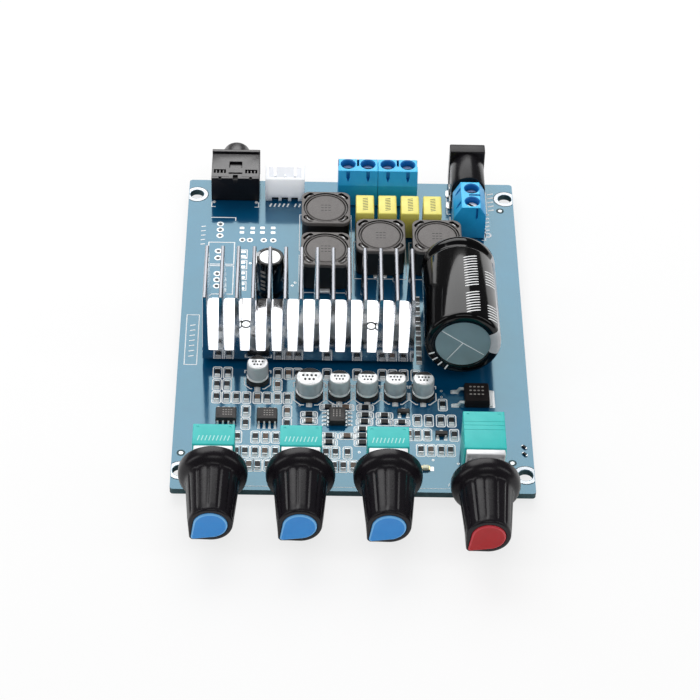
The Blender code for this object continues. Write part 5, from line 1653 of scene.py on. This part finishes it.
def terminal_profile(depth, height):
    """Side view: the slope, the flat top and the small back slope above the wire mouths."""
    top = [(depth - 1.5, height), (1.8, height), (0.0, 6.6)]
    return [(0.0, 0.0), (depth, 0.0), (depth, 7.4)] + top


def terminal_piece(name, origin, width, depth, height, ends, notched=True):
    """A two-way block: slope towards -Y, wire mouths towards +Y, and slots at its free ends."""
    piece = Piece(name, origin)
    body = soften(prism(terminal_profile(depth, height), width, "X"), 0.1, 2, 25)
    placed(body, (-width / 2, 0, 0))
    cutters = []
    for side in (-1, 1):
        x = side * TERMINAL_PITCH / 2
        lip = [(WELL, height - 0.25), (WELL + 0.3, height + 0.1), (0.0, height + 0.1)]
        cutters.append(placed(turned([(0.0, 5.0), (WELL, 5.0)] + lip, 40), (x, 4.5, 0)))
        mouth = soften(prism(rounded(3.4, 3.4, 0.4, 3), 5.4, "Y"), 0.2, 1)
        cutters.append(placed(mouth, (x, depth - 5.0, 3.1)))
        probe = [(-0.44, 8.4), (0.0, 7.4), (0.44, 8.4), (0.44, height + 0.5), (-0.44, height + 0.5)]
        cutters.append(placed(prism(probe, 1.35, "Y"), (x, 0.35, 0.0)))
    cutters.append(placed(cuboid(0.56, 2.9, 2.6), (0, 5.2, height - 2.4)))
    for side in ends:
        if notched:
            cutters.append(placed(cuboid(0.34, 2.9, 1.4), (side * width / 2, 5.2, height - 1.2)))
            cutters.append(placed(cuboid(0.5, 1.2, 1.6), (side * width / 2, depth - 0.2, 1.2)))
        cutters.append(placed(cuboid(1.0, 0.5, 3.4), (side * width / 2, depth * 0.71, height - 3.6)))
    # Cut faces take the darker blue as painted shade, and the top faces the lighter blue as painted
    # light.
    piece.add(carved(body, *cutters), terminal_blue, inner=terminal_painted_recess_shade)
    piece.paint(terminal_painted_top_light, lambda middle, normal: normal.z > 0.9 and middle.z > height - 0.1)
    for side in (-1, 1):
        x = side * TERMINAL_PITCH / 2
        piece.add(cuboid(3.0, 4.2, 0.4, 0.1, 1), tinned, (x, depth - 3.0, 1.6))
    return piece


def terminals():
    """The two speaker blocks and the power block."""
    for side in ("left", "right"):
        node = f"speaker_terminal_{side}"
        origin = front_edge(node, span(node)[0].z)
        ends = (-1,) if side == "left" else (1,)
        piece = terminal_piece(f"speaker_block_{side}", origin, *extent(node), ends)
        piece.build("board", node, corner=25)
    low = span("power_terminal")[0]
    origin = (low.x, centre("power_terminal")[1], low.z)
    depth, width, height = extent("power_terminal")
    piece = terminal_piece("power_block", origin, width, depth, height, (-1, 1), False)
    piece.build("board", "power_terminal", (0, 0, -90), 25)


def terminal_screw(name, finish, turn=0.0):
    """A slotted screw that stands on its own origin, with a slightly raised head."""
    low, high = span(name)
    length, radius = high.z - low.z + 0.4, (high.x - low.x) / 2
    piece = Piece(f"{name}_head", (*centre(name), low.z))
    profile = [(0.0, 0.0), (radius - 0.5, 0.0)]
    for i in range(4):
        z = 0.3 + 0.45 * i
        profile += [(radius - 0.25, z), (radius - 0.05, z + 0.2)]
    profile += [(radius - 0.2, 2.2), (radius, 2.4), (radius, length - 0.15), (radius - 0.15, length)]
    slot = placed(cuboid(4.0, 0.6, 1.0), (0, 0, length - 0.7), (0, 0, turn))
    # The slot's cut faces take painted shade.
    piece.add(carved(turned(profile + [(0.0, length)], 32), slot), finish, inner=painted_cavity_shade)
    return piece.build(name, name)


terminals()
# The speaker and back power screws take the bluish painted shade, and the front power screw the painted
# highlight.
screw_object = terminal_screw("speaker_screw_1", screw_painted_well_shade)
terminal_screw("power_screw_front", screw_painted_highlight, -40.0)
screw_names = [f"speaker_screw_{i}" for i in (2, 3, 4)] + ["power_screw_back"]
for name in screw_names:
    place = (*centre(name), span(name)[0].z)
    settle(f"{name}_head", screw_object.data, place, name, name)
print("terminal screws:", len(screw_names) + 2)

# %% [markdown]
# ## Sockets
# The audio socket is a black moulding with windows in its top, where its springs were fitted,
# and a barrel that reaches past the board. The white header takes a plug from above. The power
# socket has a round-topped body behind a square flange, with a metal pin in its bore.

# %% Audio socket
def audio_jack():
    """The block, its flange and barrel, with the mould's windows cut from its top."""
    width, height, depth, flange = 12.2, 7.2, 11.4, 1.5
    axis, bore, barrel = 3.7, 1.85, 3.45
    piece = Piece("audio_socket", front_edge("audio_jack", TOP + SEAT))

    def bored(shape, length):
        return carved(shape, placed(rod(bore, length, 0.0, 32), (0, depth + 0.1, axis), FORWARD))

    cutters = [placed(cuboid(3.3, 2.5, 1.6), (0, 5.6, height - 1.1))]
    cutters.append(placed(cuboid(3.5, 0.6, 1.0), (0, 2.15, height - 0.6)))
    cutters.append(placed(cuboid(1.3, 2.3, 1.0), (0, 0.3, height - 0.55)))
    for side in (-1, 1):
        cutters.append(placed(cuboid(3.1, 1.5, 1.6), (side * 4.0, 2.9, height - 1.3)))
        cutters.append(placed(cuboid(0.75, 1.1, 1.2), (side * 3.9, 0.1, height - 0.35)))
        cutters.append(placed(cuboid(4.6, 0.12, 0.4), (side * 3.9, 0.75, height - 0.2)))
    block = placed(cuboid(width, depth - flange, height, 0.12, 2), (0, (depth - flange) / 2, 0))
    # The windows and the bore take painted shade on their cut faces.
    piece.add(bored(carved(block, *cutters), depth - 1.6), jack_black, inner=painted_cavity_shade)
    piece.add(cuboid(2.9, 2.0, 0.2), jack_black, (0, 5.5, height - 0.85))
    piece.add(cuboid(0.85, 0.3, 0.9, 0.1, 1), jack_black, (0, 0.05, height - 1.9))
    for side in (-1, 1):
        for i in range(3):
            tooth = cuboid(0.28, 1.2, 1.0)
            piece.add(tooth, jack_black, (side * 4.0 - 0.9 + 0.9 * i, 2.8, height - 1.15))
    # The neck behind the rim is all painted shade.
    neck = bored(placed(cuboid(width - 0.4, 0.7, height - 0.5), (0, depth - 1.25, 0.1)), 3)
    piece.add(neck, painted_cavity_shade)
    rim = placed(cuboid(width + 0.1, 0.95, height + 0.35, 0.12, 2), (0, depth - 0.475, 0))
    piece.add(bored(rim, 3), jack_black, inner=painted_cavity_shade)
    # Painted shade: the front and side faces take the darker copy of the black plastic.
    piece.paint(jack_painted_shaded_black, lambda middle, normal: normal.y < -0.7 or abs(normal.x) > 0.9)
    side_view = [(bore, 0.0), (bore, 3.4), (2.2, 3.7), (barrel - 0.5, 3.7)]
    side_view += [(barrel - 0.15, 3.5), (barrel, 3.1), (barrel, 0.0)]
    piece.add(tube(side_view, 56), jack_black, (0, depth, axis), BACKWARD)
    piece.add(washer(bore - 0.01, bore + 0.17, 0.5, 32), tinned, (0, depth + 2.4, axis), BACKWARD)
    for side in (-1, 1):
        for y in (1.5, 5.0):
            piece.add(cuboid(0.3, 1.2, 1.6), tinned, (side * (width / 2 - 0.3), y, -0.3))
        tip = soften(tile(0.8, 0.9, 0.35, 0.2, 3), 0.08, 1)
        piece.add(tip, solder, (side * (width / 2 - 0.7), -0.5, -SEAT))
    return piece.build("board", "audio_jack")


audio_jack()
print("audio socket is built")

# %% Audio header
def audio_header():
    """A white open box with a slotted back wall, three notches in front and three square pins."""
    width, depth, height = extent("audio_header")
    wall, floor = 0.8, 1.8
    piece = Piece("header_shell", (*centre("audio_header"), TOP + SEAT))
    inside = placed(cuboid(width - 2 * wall, depth - 2 * wall, height), (0, 0, floor))
    cutters = [inside]
    for i in (-1, 0, 1):
        cutters.append(placed(cuboid(1.7, wall * 2.6, 1.4), (i * PIN_PITCH, -depth / 2, -0.2)))
    for side in (-1, 1):
        cutters.append(placed(cuboid(0.8, wall * 3, 3.0), (side * 2.6, depth / 2, height - 2.7)))
    # The shell and its cut inside carry a painted glow.
    piece.add(carved(cuboid(width, depth, height, 0.12, 2), *cutters), header_white, inner=header_inner_painted_glow)
    for i in (-1, 0, 1):
        pin = soften(cuboid(0.64, 0.64, height - 1.2 - floor + 0.4), 0.1, 1, 60)
        piece.add(pin, screw_plated, (i * PIN_PITCH, 0, floor - 0.2))
        piece.add(cuboid(0.6, 0.6, 0.9), tinned, (i * PIN_PITCH, 0.0, -0.3))
        # A thin dark sheet behind each front notch is painted shade.
        shade = (i * PIN_PITCH, wall * 1.2 - depth / 2, -0.1)
        piece.add(cuboid(1.66, 0.1, 1.2), painted_cavity_shade, shade)
    return piece.build("board", "audio_header")


audio_header()
print("audio header is built")

# %% Power socket
def dc_jack():
    """The round-topped body, the flange, the bore and the two solder lugs."""
    width, length, height = extent("dc_jack")
    axis, radius, flange = 6.3, 4.3, 3.3
    body = length - flange
    piece = Piece("power_socket", front_edge("dc_jack", TOP + SEAT))
    turns = [math.pi * i / 24 for i in range(25)]
    arch = [(radius * math.cos(a), axis + radius * math.sin(a)) for a in turns]
    body_shape = soften(prism([(-radius, 0.0), (radius, 0.0)] + arch, body + 0.3, "Y"), 0.15, 2, 40)
    flange_shape = placed(cuboid(width, flange, height, 0.3, 3), (0, body + flange / 2, 0))

    def bores():
        wide = placed(rod(3.15, 9.6, 0.0, 48), (0, length + 0.05, axis), FORWARD)
        narrow = placed(rod(1.35, length + 1, 0.0, 24), (0, length + 0.5, axis), FORWARD)
        return wide, narrow

    pockets = [placed(cuboid(0.8, 3.4, 2.2), (-radius, 3.4, 0.8))]
    pockets.append(placed(cuboid(3.0, 0.8, 4.4), (0, 0, 1.0)))
    # The bores and pockets take painted shade on their cut faces.
    piece.add(carved(body_shape, *bores(), *pockets), socket_black, inner=painted_cavity_shade)
    piece.add(carved(flange_shape, bores()[0]), socket_black, inner=painted_cavity_shade)
    piece.add(cuboid(2 * radius - 1.0, body - 1.0, 0.6), socket_black, (0, body / 2, -0.25))
    spring = [(-2.9, 0.4), (-2.9, 3.0), (-2.3, 5.6), (-2.9, 8.0)]
    strip = prism([(x, y) for x, y in spring] + [(x - 0.2, y) for x, y in spring[::-1]], 1.6)
    piece.add(strip, tinned, (0.0, length - 9.2, axis - 0.8))
    for y in (1.6, 6.2):
        lug = cuboid(0.3, 2.2, 2.6, 0.08, 1)
        piece.add(lug, tinned, (-radius - 0.12, y, -0.2))
        blob = soften(tile(1.5, 2.8, 0.6, 0.45, 3), 0.2, 2)
        piece.add(blob, solder, (-radius - 0.3, y, -SEAT))
    return piece.build("board", "dc_jack")


def dc_pin():
    """The centre contact, a turned pin."""
    low, high = span("dc_jack_pin")
    radius, length = (high.x - low.x) / 2, high.y - low.y
    piece = Piece("power_pin", Vector(((low.x + high.x) / 2, high.y, (low.z + high.z) / 2)))
    profile = [(0.0, 0.0), (0.35, 0.05), (0.75, 0.3), (radius, 0.8), (radius, length), (0.0, length)]
    piece.add(turned(profile, 28), plate_steel, (0, 0, 0), FORWARD)
    return piece.build("board", "dc_jack_pin")


dc_jack()
dc_pin()
print("power socket is built")

# %% [markdown]
# ## Controls
# Each control is a sealed potentiometer: a teal moulding behind a bright metal plate. A threaded
# bushing in front carries the shaft. The last one is twice as deep, because it turns two tracks
# for left and right together, and the joints of its two halves show as lines.

# %% Housings and plates
def control_housing(number):
    """The teal moulding, its pins and its marks."""
    node = f"control_housing_{number}"
    width, depth, height = extent(node)
    piece = Piece(f"pot_housing_{number}", front_edge(node, TOP + SEAT))
    joints = [] if number < 4 else [depth * 0.5, depth * 0.62, depth * 0.72]
    cutters = [placed(cuboid(width + 1, 0.09, height + 1), (0, y, 0.2)) for y in joints]
    dents = [(-width / 2 + 1.1, depth - 1.1), (width / 2 - 1.1, depth - 1.1)]
    cutters += [placed(rod(0.35, 0.3, 0.0, 16), (x, y, height - 0.08)) for x, y in dents]
    shell = placed(cuboid(width, depth, height, 0.22, 3), (0, depth / 2, 0))
    piece.add(carved(shell, *cutters), pot_teal)
    if number < 4:
        for i in range(9):
            x = i * 0.85 - 3.4
            bar = stroke([(x - 0.2, 1.2), (x + 0.2, 2.8)], 0.26, FILM)
            piece.add(bar, print_pale, (0, 0, height))
    for y in pin_rows(number, depth):
        for step in (-1, 0, 1):
            piece.add(cuboid(0.8, 0.3, 1.4), tinned, (step * PIN_PITCH, y, -0.6))
    return piece.build("board", node)


def control_plate(number):
    """The thick cast plate with its collar, rivet dimples and threaded bushing."""
    low, high = span(f"control_plate_{number}")
    width, height = high.x - low.x, high.z - low.z
    reach = 5.0
    plate_front = low.y + reach
    thick = high.y - plate_front
    knob_low, knob_high = span(f"knob_{number}")
    axis_height = (knob_low.z + knob_high.z) / 2 - TOP - SEAT
    piece = Piece(f"pot_plate_{number}", Vector(((low.x + high.x) / 2, plate_front, TOP + SEAT)))
    corners = [(x, 0.2, z) for x in (-3.6, 3.6) for z in (1.2, height - 1.2)]
    rivets = [placed(rod(0.5, 0.4, 0.1, 16), corner, FORWARD) for corner in corners]
    plate_block = placed(cuboid(width, thick, height, 0.25, 2), (0, thick / 2, 0))
    piece.add(carved(plate_block, *rivets), plate_zinc)
    collar = turned([(0.0, 0.0), (4.4, 0.0), (4.4, 0.3), (4.2, 0.5), (0.0, 0.5)], 48)
    piece.add(collar, plate_steel, (0, 0.05, axis_height), FORWARD)
    profile = [(2.5, 0.0), (3.5, 0.0)]
    for i in range(8):
        profile += [(3.5, 0.55 * i + 0.35), (3.3, 0.55 * i + 0.62)]
    profile += [(3.4, reach - 0.2), (3.2, reach), (2.5, reach)]
    piece.add(tube(profile, 40), plate_steel, (0, 0, axis_height), FORWARD)
    return piece.build("board", f"control_plate_{number}")


for number in range(1, 5):
    control_housing(number)
    control_plate(number)
print("housings and plates: 4 of each")

# %% [markdown]
# ## Knobs
# A knob has a round skirt and a fluted stem that is drawn out to a ridge on one side, which
# points at the setting. Its section is worked out by a formula: a circle with shallow flutes,
# and two straight lines that meet at the pointer. Stacked sections from the skirt to the tip
# give the form. A coloured cap with the same outline fills the end.

# %% Knobs
POINTER = math.radians(225)
FLUTES = 14
FLUTE_DEPTH = 0.19
KNOB_STEPS = 288
KNOB_LENGTH = 16.9


def stem_reach(radius, corner, angle, flute):
    """How far the stem reaches at an angle: its fluted circle, or the ridge's straight side."""
    off = abs((angle - POINTER + math.pi) % (2 * math.pi) - math.pi)
    wave = 0.5 + 0.5 * math.cos(FLUTES * (angle - POINTER))
    groove = flute * wave**6
    spread = math.acos(min(radius / corner, 1.0))
    if off >= spread:
        return radius - groove
    ridge = radius / math.cos(spread - off)
    nose = corner - 0.36
    hold = nose / math.cos(min(off, 0.5)) ** 0.4
    return min(ridge, hold)


def section(radius, corner, z, flute=0.0):
    """One ring at a height: its radius, how far its ridge reaches, and how deep its flutes are."""
    angles = [2 * math.pi * i / KNOB_STEPS for i in range(KNOB_STEPS)]
    reaches = [stem_reach(radius, corner, a, flute) if corner > radius else radius for a in angles]
    return [(r * math.cos(a), r * math.sin(a), z) for r, a in zip(reaches, angles)]


def stacked(first, rows, last):
    """A skin over sections of the stem, closed by a point on the axis at each end."""
    rings = [section(*row) for row in rows]
    return skin([[(0.0, 0.0, first)]] + rings + [[(0.0, 0.0, last)]])


def knob_mesh():
    """The skirt and the stem, with the hollow behind and the pocket for the cap in front."""
    tip = KNOB_LENGTH
    rows = [
        (3.3, 0, 12.4),
        (3.3, 0, 4.7),
        (4.6, 0, 4.7),
        (4.6, 0, 2.55),
        (4.75, 0, 2.4),
        (6.2, 0, 2.4),
        (6.8, 0, 2.0),
        (7.05, 0, 1.3),
        (7.05, 0, 0.1),
        (7.15, 0, 0.0),
        (7.6, 0, 0.0),
        (7.8, 0, 0.15),
        (7.85, 0, 0.45),
        (7.85, 0, 1.4),
        (7.8, 0, 2.0),
        (7.62, 0, 2.6),
        (7.25, 0, 3.15),
        (6.75, 7.0, 3.6),
        (6.35, 6.9, 3.9),
        (6.15, 6.82, 4.3, 0.02),
        (6.05, 6.8, 4.8, FLUTE_DEPTH * 0.7),
        (5.98, 6.79, 5.4, FLUTE_DEPTH),
        (5.2, 6.77, tip - 2.2, FLUTE_DEPTH),
        (5.1, 6.76, tip - 1.4, FLUTE_DEPTH * 0.6),
        (5.02, 6.75, tip - 0.9),
        (4.98, 6.72, tip - 0.45),
        (4.84, 6.62, tip - 0.12),
        (4.6, 6.56, tip),
        (4.0, 6.44, tip),
        (3.88, 6.38, tip - 0.12),
        (3.86, 6.36, tip - 0.9),
    ]
    return stacked(12.4, rows, tip - 0.9)


def knob_cap():
    """The coloured cap: the pocket's outline a little smaller, bevelled and slightly dished."""
    floor, tip = KNOB_LENGTH - 0.85, KNOB_LENGTH
    rows = [
        (3.8, 6.3, floor),
        (3.8, 6.3, tip - 0.02),
        (3.76, 6.25, tip + 0.1),
        (3.6, 6.06, tip + 0.24),
        (3.42, 5.86, tip + 0.3),
        (3.15, 5.56, tip + 0.28),
        (2.6, 4.8, tip + 0.2),
    ]
    return stacked(floor, rows, tip + 0.14)


def knobs():
    """Four knobs, three with blue caps and the last with a red one."""
    for number in range(1, 5):
        body = f"knob_{number}"
        low, high = span(body)
        origin = Vector(((low.x + high.x) / 2, high.y, (low.z + high.z) / 2))
        colour, edge = (knob_red, knob_red_painted_highlight) if number == 4 else (knob_blue, knob_blue_painted_highlight)
        if number == 1:
            piece = Piece("knob_body_1", origin)
            piece.add(knob_mesh(), knob_black)
            mesh = piece.build(body, body, FORWARD, 45).data
        else:
            settle(f"knob_body_{number}", mesh, origin, body, body, FORWARD)
        cap = Piece(f"knob_face_{number}", origin)
        cap.add(knob_cap(), colour)
        # The bevel faces take the lighter copy of the cap colour, a painted highlight.
        cap.paint(edge, lambda middle, normal: 0.25 < normal.z < 0.97 and middle.z > KNOB_LENGTH)
        cap.build(body, f"knob_cap_{number}", FORWARD, 45)


def shafts():
    """Turned shafts, each with its flat, kept as packed and given a brushed finish."""
    for number in range(1, 5):
        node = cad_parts[f"control_shaft_{number}"]
        node.data.materials.clear()
        node.data.materials.append(plate_steel.material)


knobs()
shafts()
print("knobs: 4")

# %% [markdown]
# ## Stage and light
# The floor and the far background are white. The object is lit by a white sky and by large soft
# panels. One panel stands behind and above, where the board's face and the heatsink mirror it
# into the camera, and this makes the blue lacquer look pale where nothing is in the way.

# %% Floor
def floor():
    """A white sheet that keeps the soft shadow: part lit, part glowing for the camera only."""
    shape = bmesh.new()
    bmesh.ops.create_circle(shape, cap_ends=True, radius=6.0, segments=64)
    sheet = linked("floor", as_mesh(shape))
    look = {"roughness": 1.0, "specular_ior_level": 0.0}
    finish = Finish("floor_white", base_color=(0.92, 0.92, 0.92, 1.0), **look)
    seen = finish.node("ShaderNodeLightPath", {}, {}, "Is Camera Ray")
    glow = finish.node("ShaderNodeEmission", {}, {"Color": (1.0, 1.0, 1.0, 1.0), "Strength": 1.0})
    surface = Value(finish, finish.shader.outputs[0])
    mixed = finish.node("ShaderNodeMixShader", {}, {0: seen * 0.75, 1: surface, 2: glow})
    finish.feed(finish.tree.nodes["Material Output"].inputs["Surface"], mixed)
    sheet.data.materials.append(finish.material)
    return sheet


floor()
print("floor is laid")

# %% Sky and panels
SKY = 0.52
MIRRORED_SKY = 0.07


def sky():
    """White for the camera, plain as light, and dim in mirrors, where only the panels shine."""
    world = bpy.data.worlds.new("studio")
    bpy.context.scene.world = world
    world.use_nodes = True
    nodes, links = world.node_tree.nodes, world.node_tree.links
    path = nodes.new("ShaderNodeLightPath")
    background = nodes["Background"]
    background.inputs["Color"].default_value = (1.0, 1.0, 1.0, 1.0)
    level = None
    for output, strength in (("Is Glossy Ray", MIRRORED_SKY), ("Is Camera Ray", 1.0)):
        mix = nodes.new("ShaderNodeMix")
        mix.inputs[2].default_value = SKY
        mix.inputs[3].default_value = strength
        links.new(path.outputs[output], mix.inputs[0])
        if level:
            links.new(level, mix.inputs[2])
        level = mix.outputs[0]
    links.new(level, background.inputs["Strength"])


def panel(name, azimuth, elevation, distance, width, height, glow):
    """A soft panel that faces the board's middle. Azimuth 0 is behind it, 90 to its right."""
    data = bpy.data.lights.new(name, "AREA")
    data.shape = "RECTANGLE"
    data.size, data.size_y = width, height
    data.energy = glow * math.pi * width * height
    holder = linked(name, data)
    a, e = math.radians(azimuth), math.radians(elevation)
    way = Vector((math.sin(a) * math.cos(e), math.cos(a) * math.cos(e), math.sin(e)))
    holder.location = way * distance + Vector((0.0, 0.0, 0.01))
    holder.rotation_euler = way.to_track_quat("Z", "Y").to_euler()
    holder.visible_camera = False
    return holder


sky()
panel("back_panel", -14, 44, 0.6, 0.66, 0.44, 2.8)
panel("left_panel", -100, 30, 0.7, 0.16, 0.5, 2.2)
panel("right_panel", 100, 34, 0.7, 0.16, 0.5, 2.0)
panel("front_panel", 175, 58, 0.8, 0.5, 0.2, 1.8)
bpy.context.scene.view_settings.view_transform = "Standard"
print("lights:", len(bpy.data.lights))
